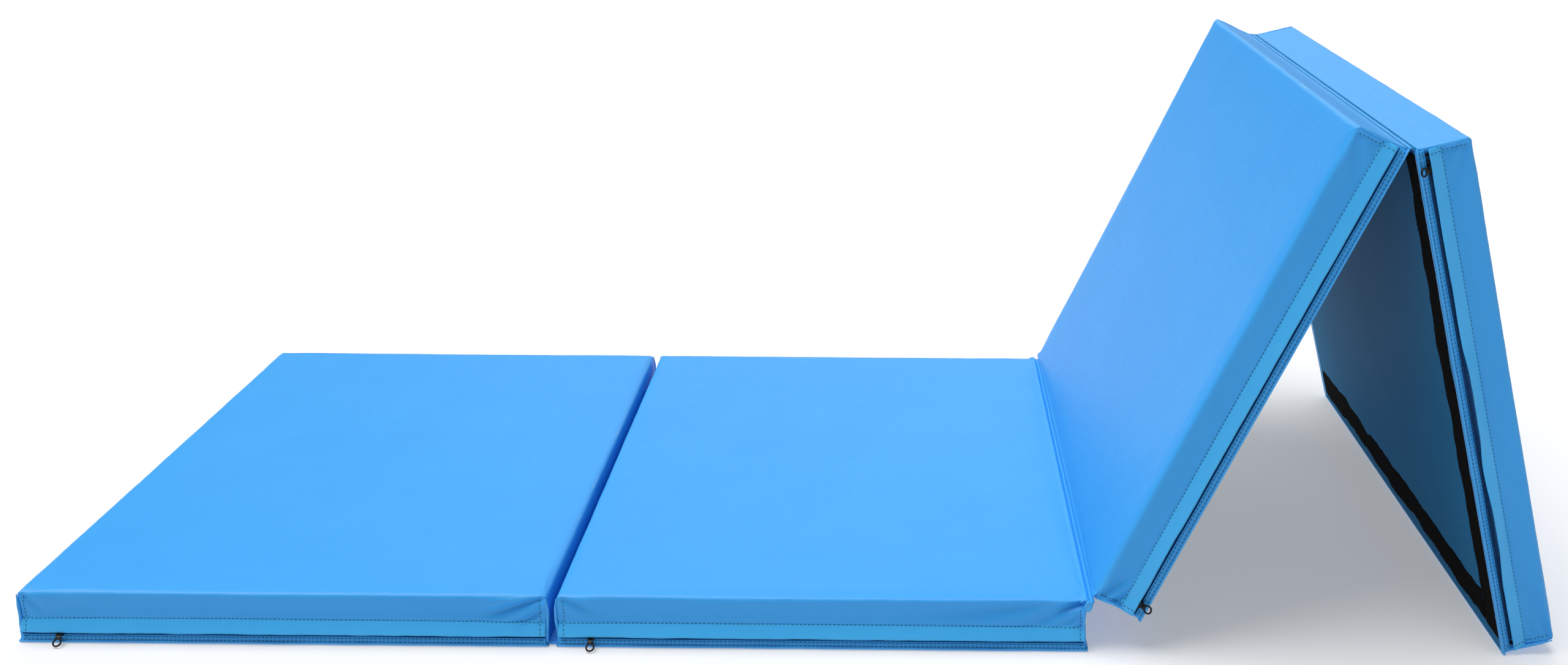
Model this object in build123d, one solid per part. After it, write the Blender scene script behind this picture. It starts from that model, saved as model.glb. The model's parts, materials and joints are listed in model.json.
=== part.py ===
"""Four-panel folding gym mat, stored half folded: two panels flat, two standing as a tent.

Every piece is drawn in its panel's own frame, as if the mat lay flat, and is then turned about the
fold lines to the stored pose. In a panel's frame X runs along the mat from the panel's left end, Y
runs across it from the middle of its width (the zipper side is -Y), and Z is up from its underside.
The part's origin is the centre of panel 2's underside. All lengths are millimetres.
"""

from build123d import *
from math import asin, atan2, cos, degrees, hypot, radians, sin
import os

# ---- The mat ----
PANEL_COUNT = 4
PANEL_LENGTH = 453.0  # along the mat; four panels and three folds make 6 ft
PANEL_WIDTH = 610.0  # across the mat: 2 ft
PANEL_THICKNESS = 46.0

# ---- Folds: 1-2 and 3-4 hinge at the underside, 2-3 at the top face ----
GAP_12 = 7.0  # between the end walls of panels 1 and 2
GAP_23 = 2.0
GAP_34 = 5.0
UNDERSIDE_OFFSET = 1.0  # fold line below the underside, so that closed faces stay apart
TOP_OFFSET = 1.2  # fold line above the top face
RAISED_ANGLE = 65.0  # panel 3 above the floor in the stored pose
HINGE_STRIP_THICKNESS = 1.5
HINGE_CLEARANCE = 0.3

# ---- Cover and core ----
COVER_THICKNESS = 2.0
COVER_CORNER_RADIUS = 6.0  # rounded upper edges of the long sides
BASE_THICKNESS = 2.0
CORE_CLEARANCE = 0.2
CORE_FRONT_INSET = 8.0  # the foam stops short of the zipper

# ---- Front wall, heights above the underside ----
COVER_FRONT_EDGE = 20.0  # lower edge of the cover's front wall
PLACKET_TOP = 23.0
PLACKET_BOTTOM = 9.5
PLACKET_THICKNESS = 1.2
PLACKET_FLARE = 1.6  # how far the flap's free edge stands off the wall
SKIRT_TOP = 6.5
SKIRT_THICKNESS = 1.2
SKIRT_TOP_OFFSET = 0.1  # inner face of the skirt's upper edge, in front of the wall
SKIRT_FLARE = 1.1  # further out again at its lower edge
FRONT_END_INSET = 1.0  # placket and skirt stop this far from the panel's ends

# ---- Zipper ----
ZIP_HEIGHT = 10.0  # centre of the chain
ZIP_END = 6.0  # from a panel's end to the chain's end
TAPE_THICKNESS = 0.6
TAPE_TOP = 24.0
COIL_WIDTH = 5.0  # both rows together, across the chain
COIL_SLIT = 1.2  # between the two rows
COIL_THICKNESS = 1.8
STOP_LENGTH = 2.5
SLIDER_LENGTH = 11.0
SLIDER_WIDTH = 10.0
SLIDER_PLATE = 0.9
SLIDER_CLEARANCE = 0.3
SLIDER_WEB = 0.6  # the wedge between the two rows
BAIL_CHEEK = 0.9
BAIL_GAP = 3.6  # between the two cheeks
BAIL_HEIGHT = 2.0
BAIL_PIN_RADIUS = 0.6
PULL_PIVOT_OUT = 4.0  # pull's pivot in front of the wall
PULL_PIVOT_HEIGHT = 8.0
PULL_EYE_RADIUS = 1.4
PULL_EYE_BORE = 0.8
PULL_EYE_WIDTH = 3.0
PULL_TAB_WIDTH = 5.5
PULL_THICKNESS = 1.2
PULL_RING_RADIUS = 4.0
PULL_RING_BORE = 2.4
PULL_RING_DISTANCE = 7.0  # from the pivot to the ring's centre
SLIDER_PLACES = {1: 36.0, 2: 30.0, 3: 15.0, 4: 18.0}  # from each panel's left end
PULL_SLANTS = {1: 50.0, 2: 50.0, 3: 36.0, 4: 36.0}  # outwards from straight down, degrees

# ---- Hook and loop strips, let into the underside ----
STRIP_WIDTH = 30.0
STRIP_THICKNESS = 1.2
STRIP_END_MARGIN = 12.0  # from a free end to the strip across it
STRIP_SIDE_MARGIN = 4.0  # from the zipper side to the strip along it
STRIP_REAR_MARGIN = 14.0
STRIP_FOLD_MARGIN = 6.0  # from the fold to the strip along the zipper side

# ---- Worked out from the above ----
FRONT = -PANEL_WIDTH / 2  # outer face of the front wall
REAR = PANEL_WIDTH / 2
FREE_END = PANEL_LENGTH
TAPE_FACE = FRONT + COVER_THICKNESS  # outer face of the zipper tapes
TAPE_MIDDLE = TAPE_FACE + TAPE_THICKNESS / 2


def box_between(low, high):
    """A box from its lowest to its highest corner."""
    size = [high[i] - low[i] for i in range(3)]
    corner = Pos(*low)
    return corner * Box(*size, align=(Align.MIN, Align.MIN, Align.MIN))


def along_x(points, start, end):
    """A solid from start to end along X, whose section is the polygon of (y, z) points."""
    outline = Plane.YZ.offset(start) * make_face(Polyline(*points, close=True))
    return extrude(outline, amount=end - start)


def x_cylinder(radius, length, y, z):
    """A cylinder along X, centred on X = 0."""
    return Pos(0, y, z) * Rot(0, 90, 0) * Cylinder(radius, length)


# ---- Panels ----
def make_cover():
    """Top sheet with its four walls: one sheet of vinyl, folded down and sewn at the corners."""
    outer = box_between(
        (0, FRONT, BASE_THICKNESS),
        (PANEL_LENGTH, REAR, PANEL_THICKNESS),
    )
    top_edges = outer.edges().filter_by(Axis.X).group_by(Axis.Z)[-1]
    outer = fillet(top_edges, COVER_CORNER_RADIUS)
    inner = box_between(
        (COVER_THICKNESS, FRONT + COVER_THICKNESS, 0),
        (PANEL_LENGTH - COVER_THICKNESS, REAR - COVER_THICKNESS, PANEL_THICKNESS - COVER_THICKNESS),
    )
    inner_edges = inner.edges().filter_by(Axis.X).group_by(Axis.Z)[-1]
    inner = fillet(inner_edges, COVER_CORNER_RADIUS - COVER_THICKNESS)
    zipper_slot = box_between(
        (COVER_THICKNESS, FRONT - COVER_THICKNESS, 0),
        (PANEL_LENGTH - COVER_THICKNESS, FRONT + COVER_THICKNESS, COVER_FRONT_EDGE),
    )
    return outer - inner - zipper_slot


def make_core():
    """The foam slab."""
    core = box_between(
        (COVER_THICKNESS + CORE_CLEARANCE, FRONT + CORE_FRONT_INSET, BASE_THICKNESS),
        (
            PANEL_LENGTH - COVER_THICKNESS - CORE_CLEARANCE,
            REAR - COVER_THICKNESS - CORE_CLEARANCE,
            PANEL_THICKNESS - COVER_THICKNESS - CORE_CLEARANCE,
        ),
    )
    rear_top = core.edges().filter_by(Axis.X).group_by(Axis.Z)[-1].sort_by(Axis.Y)[-1]
    return fillet(rear_top, COVER_CORNER_RADIUS - COVER_THICKNESS)


def make_base(panel):
    """The underside sheet, with shallow recesses where strips are sewn on."""
    base = box_between(
        (0, FRONT - SKIRT_TOP_OFFSET - SKIRT_FLARE, 0),
        (PANEL_LENGTH, REAR, BASE_THICKNESS),
    )
    for strip in strips_of(panel).values():
        base -= strip
    return base


def end_strip(outer_edge, inner_edge, from_y):
    """A strip across a free end, between two distances from the panel's left end."""
    return box_between(
        (min(outer_edge, inner_edge), from_y, 0),
        (max(outer_edge, inner_edge), REAR - STRIP_REAR_MARGIN, STRIP_THICKNESS),
    )


def strips_of(panel):
    """The hook or loop strips under a panel, by node name."""
    strips = {}
    side_inner = FRONT + STRIP_SIDE_MARGIN + STRIP_WIDTH
    if panel == 1:
        strips["loop_strip_end"] = end_strip(
            STRIP_END_MARGIN, STRIP_END_MARGIN + STRIP_WIDTH, FRONT + STRIP_SIDE_MARGIN
        )
    if panel == PANEL_COUNT:
        outer_edge = FREE_END - STRIP_END_MARGIN
        strips["hook_strip_end"] = end_strip(outer_edge, outer_edge - STRIP_WIDTH, side_inner)
        strips["hook_strip_side"] = box_between(
            (STRIP_FOLD_MARGIN, FRONT + STRIP_SIDE_MARGIN, 0),
            (outer_edge, side_inner, STRIP_THICKNESS),
        )
    return strips


# ---- Front wall ----
def make_placket():
    """The flap that hides the zipper: sewn to the cover's front wall, free at its lower edge."""
    free_inner = FRONT - PLACKET_FLARE
    section = [
        (FRONT, PLACKET_TOP),
        (FRONT, COVER_FRONT_EDGE),
        (free_inner, PLACKET_BOTTOM),
        (free_inner - PLACKET_THICKNESS, PLACKET_BOTTOM),
        (FRONT - PLACKET_THICKNESS, COVER_FRONT_EDGE),
        (FRONT - PLACKET_THICKNESS, PLACKET_TOP),
    ]
    return along_x(section, FRONT_END_INSET, PANEL_LENGTH - FRONT_END_INSET)


def make_skirt():
    """The lower strip of the front wall, which stands on the underside sheet's edge."""
    top_inner = FRONT - SKIRT_TOP_OFFSET
    bottom_inner = top_inner - SKIRT_FLARE
    section = [
        (top_inner, SKIRT_TOP),
        (bottom_inner, BASE_THICKNESS),
        (bottom_inner, 0),
        (bottom_inner - SKIRT_THICKNESS, 0),
        (top_inner - SKIRT_THICKNESS, SKIRT_TOP),
    ]
    return along_x(section, FRONT_END_INSET, PANEL_LENGTH - FRONT_END_INSET)


# ---- Zipper ----
def make_tapes():
    """The two woven tapes: the upper one under the cover's wall, the lower one on the base."""
    upper = box_between(
        (ZIP_END, TAPE_FACE, ZIP_HEIGHT + COIL_WIDTH / 2),
        (PANEL_LENGTH - ZIP_END, TAPE_FACE + TAPE_THICKNESS, TAPE_TOP),
    )
    lower = box_between(
        (ZIP_END, TAPE_FACE, BASE_THICKNESS),
        (PANEL_LENGTH - ZIP_END, TAPE_FACE + TAPE_THICKNESS, ZIP_HEIGHT - COIL_WIDTH / 2),
    )
    return Compound([upper, lower])


def coil_rows(start, end, thickness):
    """Two rows along the chain with the slit between them."""
    rows = []
    for side in (-1, 1):
        near = ZIP_HEIGHT + side * COIL_SLIT / 2
        far = ZIP_HEIGHT + side * COIL_WIDTH / 2
        row = box_between(
            (start, TAPE_MIDDLE - thickness / 2, min(near, far)),
            (end, TAPE_MIDDLE + thickness / 2, max(near, far)),
        )
        rows.append(row)
    return rows


def make_coils():
    """The closed chain, as two plain rows."""
    start = ZIP_END + STOP_LENGTH
    return Compound(coil_rows(start, PANEL_LENGTH - start, COIL_THICKNESS))


def make_stops():
    """A stop at each end of the chain, clamped over both rows."""
    stops = []
    for start in (ZIP_END, PANEL_LENGTH - ZIP_END - STOP_LENGTH):
        stop = box_between(
            (start, TAPE_MIDDLE - COIL_THICKNESS / 2, ZIP_HEIGHT - COIL_WIDTH / 2),
            (start + STOP_LENGTH, TAPE_MIDDLE + COIL_THICKNESS / 2, ZIP_HEIGHT + COIL_WIDTH / 2),
        )
        stops.append(stop)
    return Compound(stops)


def make_slider():
    """Slider body centred on X = 0, with its bail and the pin that the pull turns on."""
    half_length = SLIDER_LENGTH / 2
    channel_depth = COIL_THICKNESS / 2 + SLIDER_CLEARANCE
    body_depth = channel_depth + SLIDER_PLATE
    body = box_between(
        (-half_length, TAPE_MIDDLE - body_depth, ZIP_HEIGHT - SLIDER_WIDTH / 2),
        (half_length, TAPE_MIDDLE + body_depth, ZIP_HEIGHT + SLIDER_WIDTH / 2),
    )
    body = fillet(body.edges().filter_by(Axis.Y), SLIDER_WIDTH / 4)
    channel_half = COIL_WIDTH / 2 + SLIDER_CLEARANCE
    body -= box_between(
        (-SLIDER_LENGTH, TAPE_MIDDLE - channel_depth, ZIP_HEIGHT - channel_half),
        (SLIDER_LENGTH, TAPE_MIDDLE + channel_depth, ZIP_HEIGHT + channel_half),
    )
    slot_depth = TAPE_THICKNESS / 2 + SLIDER_CLEARANCE
    body -= box_between(
        (-SLIDER_LENGTH, TAPE_MIDDLE - slot_depth, ZIP_HEIGHT - SLIDER_WIDTH),
        (SLIDER_LENGTH, TAPE_MIDDLE + slot_depth, ZIP_HEIGHT + SLIDER_WIDTH),
    )
    body += box_between(
        (-half_length, TAPE_MIDDLE - body_depth, ZIP_HEIGHT - SLIDER_WEB / 2),
        (half_length, TAPE_MIDDLE + body_depth, ZIP_HEIGHT + SLIDER_WEB / 2),
    )
    pivot_y = FRONT - PULL_PIVOT_OUT
    plate_face = TAPE_MIDDLE - channel_depth
    for side in (-1, 1):
        near = side * BAIL_GAP / 2
        far = near + side * BAIL_CHEEK
        body += box_between(
            (min(near, far), pivot_y, PULL_PIVOT_HEIGHT - BAIL_HEIGHT / 2),
            (max(near, far), plate_face, PULL_PIVOT_HEIGHT + BAIL_HEIGHT / 2),
        )
    cheek_span = BAIL_GAP + 2 * BAIL_CHEEK
    for side in (-1, 1):
        cheek_middle = side * (BAIL_GAP + BAIL_CHEEK) / 2
        rounded_end = x_cylinder(BAIL_HEIGHT / 2, BAIL_CHEEK, pivot_y, PULL_PIVOT_HEIGHT)
        body += Pos(cheek_middle, 0, 0) * rounded_end
    return body + x_cylinder(BAIL_PIN_RADIUS, cheek_span, pivot_y, PULL_PIVOT_HEIGHT)


def make_pull(slant):
    """Pull tab centred on X = 0: an eye on the bail's pin, a flat tab and a finger ring."""
    half = PULL_THICKNESS / 2
    tab_end = PULL_RING_DISTANCE - (PULL_RING_RADIUS + PULL_RING_BORE) / 2
    tab = box_between((-PULL_TAB_WIDTH / 2, -half, -tab_end), (PULL_TAB_WIDTH / 2, half, -PULL_EYE_RADIUS))
    neck = box_between((-PULL_EYE_WIDTH / 2, -half, -tab_end), (PULL_EYE_WIDTH / 2, half, 0))
    ring = Pos(0, 0, -PULL_RING_DISTANCE) * Rot(90, 0, 0) * Cylinder(PULL_RING_RADIUS, PULL_THICKNESS)
    hole = Pos(0, 0, -PULL_RING_DISTANCE) * Rot(90, 0, 0) * Cylinder(PULL_RING_BORE, 2 * PULL_THICKNESS)
    eye = x_cylinder(PULL_EYE_RADIUS, PULL_EYE_WIDTH, 0, 0)
    bore = x_cylinder(PULL_EYE_BORE, 2 * PULL_EYE_WIDTH, 0, 0)
    pull = tab + neck + ring + eye - hole - bore
    return Pos(0, FRONT - PULL_PIVOT_OUT, PULL_PIVOT_HEIGHT) * Rot(-slant, 0, 0) * pull


# ---- Fold strips ----
def make_fold_strip(start, length, underside):
    """Closes the gap beside a panel's end wall from X = start, and clears the next panel."""
    bottom = 0 if underside else PANEL_THICKNESS - HINGE_STRIP_THICKNESS
    return box_between(
        (start, FRONT, bottom),
        (start + length - HINGE_CLEARANCE, REAR, bottom + HINGE_STRIP_THICKNESS),
    )


# ---- The stored pose ----
def rotated(point, centre, angle):
    """A point of the XZ plane turned upwards from +X about a centre."""
    c, s = cos(radians(angle)), sin(radians(angle))
    dx, dz = point[0] - centre[0], point[1] - centre[1]
    return centre[0] + dx * c - dz * s, centre[1] + dx * s + dz * c


def turn_about(centre, angle):
    """The location that turns a solid upwards from +X about a fold line at (x, z)."""
    return Pos(centre[0], 0, centre[1]) * Rot(0, -angle, 0) * Pos(-centre[0], 0, -centre[1])


panel_2_left = -PANEL_LENGTH / 2
panel_1_left = panel_2_left - GAP_12 - PANEL_LENGTH
panel_3_left = panel_2_left + PANEL_LENGTH + GAP_23
panel_4_left = panel_3_left + PANEL_LENGTH + GAP_34

fold_12 = (panel_2_left - GAP_12 / 2, -UNDERSIDE_OFFSET)
fold_23 = (panel_3_left - GAP_23 / 2, PANEL_THICKNESS + TOP_OFFSET)
fold_34_flat = (panel_4_left - GAP_34 / 2, -UNDERSIDE_OFFSET)
fold_34 = rotated(fold_34_flat, fold_23, RAISED_ANGLE)

# Panel 4 leans back until the free edge of its underside stands on the floor.
leg_reach = PANEL_LENGTH + GAP_34 / 2
leg_length = hypot(leg_reach, UNDERSIDE_OFFSET)
leg_lift = degrees(atan2(UNDERSIDE_OFFSET, leg_reach))
LEG_ANGLE = leg_lift + degrees(asin(fold_34[1] / leg_length))
FOLD_34_ANGLE = RAISED_ANGLE + LEG_ANGLE

raise_panel_3 = turn_about(fold_23, RAISED_ANGLE)
lower_panel_4 = raise_panel_3 * turn_about(fold_34_flat, -FOLD_34_ANGLE)
PLACES = {
    1: Pos(panel_1_left, 0, 0),
    2: Pos(panel_2_left, 0, 0),
    3: raise_panel_3 * Pos(panel_3_left, 0, 0),
    4: lower_panel_4 * Pos(panel_4_left, 0, 0),
}


def panel_nodes(panel):
    """Every piece of one panel in the panel's own frame, by node name."""
    at_slider = Pos(SLIDER_PLACES[panel], 0, 0)
    nodes = {
        f"foam_core_{panel}": make_core(),
        f"cover_{panel}": make_cover(),
        f"base_sheet_{panel}": make_base(panel),
        f"zip_placket_{panel}": make_placket(),
        f"zip_skirt_{panel}": make_skirt(),
        f"zip_tapes_{panel}": make_tapes(),
        f"zip_coils_{panel}": make_coils(),
        f"zip_stops_{panel}": make_stops(),
        f"zip_slider_{panel}": at_slider * make_slider(),
        f"zip_pull_{panel}": at_slider * make_pull(PULL_SLANTS[panel]),
    }
    nodes.update(strips_of(panel))
    return nodes


def fold_strip_nodes():
    """The three fold strips, each with the panel it is drawn on."""
    return {
        "fold_strip_12": (1, make_fold_strip(PANEL_LENGTH, GAP_12, underside=True)),
        "fold_strip_23": (2, make_fold_strip(PANEL_LENGTH, GAP_23, underside=False)),
        "fold_strip_34": (3, make_fold_strip(PANEL_LENGTH, GAP_34, underside=True)),
    }


def main():
    os.makedirs("parts", exist_ok=True)
    for panel in range(1, PANEL_COUNT + 1):
        for name, shape in panel_nodes(panel).items():
            export_step(PLACES[panel] * shape, f"parts/{name}.step")
    for name, (panel, shape) in fold_strip_nodes().items():
        export_step(PLACES[panel] * shape, f"parts/{name}.step")
    print("fold 1-2 at", fold_12)
    print("fold 2-3 at", fold_23)
    print("fold 3-4 at", fold_34, "opened", FOLD_34_ANGLE, "from flat; panel 4 leans", LEG_ANGLE)


main()
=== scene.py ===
import json
from collections import namedtuple
from math import ceil, cos, exp, pi, radians, sin

import bpy
import bmesh
from mathutils import Matrix, Vector, noise
from mathutils.bvhtree import BVHTree


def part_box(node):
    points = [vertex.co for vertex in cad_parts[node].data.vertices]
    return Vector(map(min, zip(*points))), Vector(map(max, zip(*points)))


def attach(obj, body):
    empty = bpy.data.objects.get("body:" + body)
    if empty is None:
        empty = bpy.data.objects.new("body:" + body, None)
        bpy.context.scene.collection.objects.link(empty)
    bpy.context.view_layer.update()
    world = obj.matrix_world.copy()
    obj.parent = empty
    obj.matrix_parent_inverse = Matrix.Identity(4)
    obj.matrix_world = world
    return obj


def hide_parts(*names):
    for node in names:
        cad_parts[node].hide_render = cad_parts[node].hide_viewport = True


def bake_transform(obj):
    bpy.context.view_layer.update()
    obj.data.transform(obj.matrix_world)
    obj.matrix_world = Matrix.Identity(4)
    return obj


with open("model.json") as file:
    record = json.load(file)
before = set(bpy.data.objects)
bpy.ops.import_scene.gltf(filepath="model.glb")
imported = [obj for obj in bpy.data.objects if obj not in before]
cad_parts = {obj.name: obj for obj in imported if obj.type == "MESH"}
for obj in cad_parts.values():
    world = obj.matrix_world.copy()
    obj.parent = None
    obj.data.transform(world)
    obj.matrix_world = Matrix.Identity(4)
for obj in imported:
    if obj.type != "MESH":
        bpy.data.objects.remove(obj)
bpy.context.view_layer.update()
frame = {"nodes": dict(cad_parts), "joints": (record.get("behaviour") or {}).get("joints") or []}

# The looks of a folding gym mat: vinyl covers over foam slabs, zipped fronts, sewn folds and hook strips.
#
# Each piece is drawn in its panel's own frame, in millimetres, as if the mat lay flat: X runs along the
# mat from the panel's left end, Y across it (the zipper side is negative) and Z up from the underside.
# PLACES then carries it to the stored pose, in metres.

MM = 0.001
PANELS = (1, 2, 3, 4)
INWARD = Vector((0, 1, 0))  # from the zipper side into the mat
UP = Vector((0, 0, 1))

# ---- The mat, in millimetres ----
LENGTH = (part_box("cover_2")[1][0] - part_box("cover_2")[0][0]) / MM
WIDTH = (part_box("cover_2")[1][1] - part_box("cover_2")[0][1]) / MM
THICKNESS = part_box("cover_2")[1][2] / MM
HALF_WIDTH = WIDTH / 2
FRONT = -HALF_WIDTH

# ---- Cover ----
EDGE_RADIUS = 5.0  # soft upper edges
SOFT_END_RADIUS = 8.0  # panel 1's edge beside panel 2, as far as it rounds along the mat
FOLD_EDGE_RADIUS = 2.0  # upper edges that meet at the fold between panels 2 and 3
END_RADII = {
    1: (EDGE_RADIUS, SOFT_END_RADIUS),
    2: (EDGE_RADIUS, FOLD_EDGE_RADIUS),
    3: (FOLD_EDGE_RADIUS, EDGE_RADIUS),
    4: (EDGE_RADIUS, EDGE_RADIUS),
}
EDGE_POWER = 2.4  # above 2 the rounding is tighter at its middle
COVER_BOTTOM = 1.6
COVER_LIP = 20.0  # lower edge of the front wall, above the zipper
COVER_ROWS = (COVER_BOTTOM, 5, 9, 13, 16.5, 19, COVER_LIP, 21.5, 25, 29, 33, 37, 41, 42.7, 44.4, THICKNESS)
GRID_ALONG = (3.0, 84.0, 7.0)  # close spacing, how far from each end it reaches, and the wider spacing
GRID_ACROSS = (4.0, 26.0, 9.0)
ZIP_RECESS = 3.2  # the cover behind the zipper stands back this far
ZIP_RECESS_RAMP = 8.0
CROWN = 1.0  # most that the stuffed cover stands proud of the flat slab
PRESSURE = 4.0
CLOTH_FRAMES = 20
CLOTH_QUALITY = 4
SIDE_REACH, SIDE_RAMP = 9.0, 8.0  # a side wall's slack reaches this far into the cover, and fades over this
END_REACH, END_RAMP = 7.0, 5.0  # the same at an end wall
TOP_RAMP = 5.0  # the front wall's folds fade out over this height, below its upper edge
TOP_DEPTH = 4.0  # points this near the top share its slack
FOOT_RAMP = 6.0  # the other walls are held at their foot
LIP_MARGIN = 0.5
END_SLACK = 0.35
END_BULGE, BULGE_POWER = 1.8, 1.6  # the ends that face each other between panels 1 and 2 swell this far
END_DRAW, END_DRAW_REACH = 1.9, 16.0  # the ends at the fold of panels 2 and 3, drawn in at the zipper side
PUCKER_REACH = 9.0
# Edges rubbed paler; the same lightening paints the highlight along the upper edges
EDGE_WEAR_AND_HIGHLIGHT, WEAR_AND_HIGHLIGHT_REACH = 0.75, 3.2

# ---- Front wall ----
SEAM_HEIGHT = 20.6  # stitches that hold the placket and the zipper's upper tape
SEAM_DRAW = 1.5  # the wall leans in this far between its upper edge and the placket's seam
SEAM_DENT, SEAM_DENT_WIDTH = 0.45, 1.6
CORNER_SEAM_INSET = 6.5
CORNER_DENT, CORNER_DENT_WIDTH = 0.5, 2.0
END_MARGIN = 2.0
FRONT_STEPS = 225

PLACKET_TOP = 23.0
PLACKET_BOTTOM = 9.6
PLACKET_THICKNESS = 0.9
PLACKET_STEPS = 9
PLACKET_FLARE = 3.4
PLACKET_END_FLARE, PLACKET_END_RAMP = 0.75, 12.0  # share of the flare that is left at each end
PLACKET_CURL = 1.25  # above 1 the placket flares more towards its free edge
PLACKET_PROUD = 0.25
PLACKET_TUCK, TUCK_BELOW_SEAM, TUCK_HEIGHT = 1.1, 0.6, 2.6  # its upper edge, above the stitches
PLACKET_BELLY = 0.7
GAPE_RAMP = 36.0
GAPE_LIFT = 0.45  # a gaping edge rises by this share of the gape

SKIRT_TOP = 6.8
SKIRT_BOTTOM = 1.0
SKIRT_THICKNESS = 0.9
SKIRT_PROUD, SKIRT_SLOPE = 0.7, 1.6
SKIRT_INNER = Vector((0, 0.85, 0.5))  # towards the skirt's inner side
SKIRT_TURN = ((0.1, 0.35), (1.3, 0.12), (2.9, 0.1), (4.7, 0.15))  # how far back, and how high

HEM_RADIUS = 1.0
HEM_OUT = 2.3  # centre of the front hem, in front of the wall
HEM_HEIGHT = 1.1
HEM_PROUD = -0.25  # centre of the other hems, beyond the wall
HEM_TUCKED = -1.8
HEM_TURN = 4.0  # the hem rounds each corner over this distance
HEM_INSET = 0.6
# The seam beads are painted paler all over: partly wear, partly a painted highlight along the hem
HEM_WEAR_AND_HIGHLIGHT = 0.35

# ---- Stitches and beads ----
STITCH_PITCH = 3.6
STITCH_LENGTH = 2.3
STITCH_RADIUS = 0.3
STITCH_SIDES = 6
STITCH_WIDTH, STITCH_HEIGHT = 1.15, 0.8
# Rings of a stitch, as (share of its length, lift and size in radii): both ends dip into the vinyl.
STITCH_RINGS = ((-0.5, -0.30, 0.5), (-0.36, 0.35, 0.9), (0.0, 0.6, 1.0), (0.36, 0.35, 0.9), (0.5, -0.30, 0.5))
STITCH_SEARCH = 30.0
SEAM_BOWS = {1: 1.1, 2: 0.4, 3: 0.4, 4: 0.4}  # the placket's seam bows up by this much
SKIRT_SEAMS = (2.7, 5.4)
REAR_SEAM = 4.0
CORNER_SEAM_SPAN = (3.0, THICKNESS - 4.5)
CORNER_BEAD_RADIUS = 1.3
CORNER_BEAD_SPAN = (2.0, THICKNESS - 3.0)
CORNER_BEAD_INSET = 1.5
CORNER_BEAD_BOW, CORNER_BEAD_SKEW = 0.4, 0.4
CORNER_BEAD_LINES = ((FRONT + 0.8, 0.6), (HALF_WIDTH - 0.9, 0.4))  # place across the mat, and wobble
BEAD_TAPER, BEAD_TAPER_POINTS = 0.6, 6
BEAD_SIDES = 8
TUBE_DOME = 0.7  # height of a tube's end, in radii

# ---- Underside ----
BASE_OUTER = 0.4
BASE_INNER = 1.7
BASE_OVER = 0.2  # the underside sheet runs this far past each end, and BASE_FRONT in front of the wall
BASE_FRONT = 1.6
BASE_PUCKER_REACH = 10.0
REAR_HEM_WIDTH = 9.0
REAR_HEM_OVER = 1.4  # past the rear wall
REAR_HEM_INSET = 3.0
REAR_HEM_THICKNESS = 0.7
REAR_HEM_HEIGHT, REAR_HEM_RISE = 0.15, 1.9
STRIP_THICKNESS = 1.3
STRIP_SPREAD = 1.6  # each edge of a strip, beyond the CAD strip
STRIP_STEP = 2.0
STRIP_FACE, STRIP_PILE = 0.05, 0.7
STRIP_RIM, STRIP_RIM_SHARE = 0.5, 1 / 9  # its edges sink this far into the vinyl, over this share
STRIP_EDGE_SHIFT = 40.0  # its two edges wander apart, as if this far from each other

# ---- Folds between panels ----
FOLD_TUCK = 2.7  # the fold cloth runs this far under each panel
FOLD_THICKNESS = 0.8
FOLD_INSET = 0.5
FOLD_HEIGHT = 1.5
FOLD_VALLEYS = {1: 0.7, 3: 4.2}  # how deep the cloth dips between a panel and the next
VALLEY_POWER = 1.5
TOP_FOLD_REACH = 7.0  # the fold cloth between panels 2 and 3 runs this far onto each
TOP_FOLD_PROUD = 0.25
TOP_FOLD_DROP, TOP_FOLD_FLAT = 1.2, 0.6  # its edges sink into the covers, beyond this share of its reach
CREASE_DEPTH, CREASE_WIDTH = 3.0, 1.1
GATHER_CENTRE = Vector((LENGTH - 0.5, FRONT - 1.0, THICKNESS - 4.5))
GATHER_SIZE = Vector((3.4, 2.3, 5.2))
GATHER_LOBES, GATHER_LOBE_DEPTH, GATHER_TWIST = 3, 0.22, 2.5
GATHER_WEAR = 0.5

# ---- Zipper ----
ZIP_HEIGHT = 10.0
ZIP_END = 6.0
TAPE_FACE = FRONT + 2.0
TAPE_THICKNESS = 0.6
TAPE_TOP = 20.4
TAPE_BOTTOM = 2.2
TAPE_UNDER = 0.4  # each tape runs this far under its coils
COIL_WIDTH = 5.0
COIL_THICKNESS = 1.8
COIL_WIRE = 0.3
TOOTH_PITCH = 1.5
TOOTH_SLANT = 0.28
TOOTH_INSET, TOOTH_INSET_ACROSS = 0.32, 0.35
TOOTH_AFTER_STOP = 0.8
# A tooth's wire, as (share of its reach, share of its half thickness), round the tape's edge.
TOOTH_PATH = ((0.98, 0.75), (0.62, 1.0), (0.12, 0.95), (-0.1, 0.0), (0.12, -0.95), (0.62, -1.0))
STOP_LENGTH = 2.5
PULL_PIVOT = (FRONT - 4.0, 8.0)  # Y and Z of the pin that each pull turns on
PULL_RING_DISTANCE = 7.0
PULL_RING_RADIUS = 3.2
PULL_RING_WIRE = 0.75
PULL_EYE_RADIUS = 0.95
PULL_EYE_WIRE = 0.28
PULL_EYE_TURNS = (-1.1, -0.55, 0.0, 0.55, 1.1)
# The tab, from the eye down, as (height, half width, half thickness), and its outline in those halves.
PULL_TAB_ROWS = (
    (-0.9, 1.5, 0.45), (-1.6, 2.0, 0.58), (-2.4, 2.6, 0.6),
    (-3.2, 2.75, 0.6), (-4.0, 2.5, 0.6), (-4.6, 1.7, 0.45),
)
PULL_TAB_OUTLINE = (
    (1.0, 0.35), (0.86, 1.0), (0.0, 1.12), (-0.86, 1.0), (-1.0, 0.35),
    (-1.0, -0.35), (-0.86, -1.0), (0.0, -1.12), (0.86, -1.0), (1.0, -0.35),
)
PULL_SHARP_ANGLE = 50
SLIDER_PLACES = {1: 36.0, 2: 30.0, 3: 15.0, 4: 18.0}
PULL_SLANTS = {1: 50.0, 2: 50.0, 3: 36.0, 4: 36.0}

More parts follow.
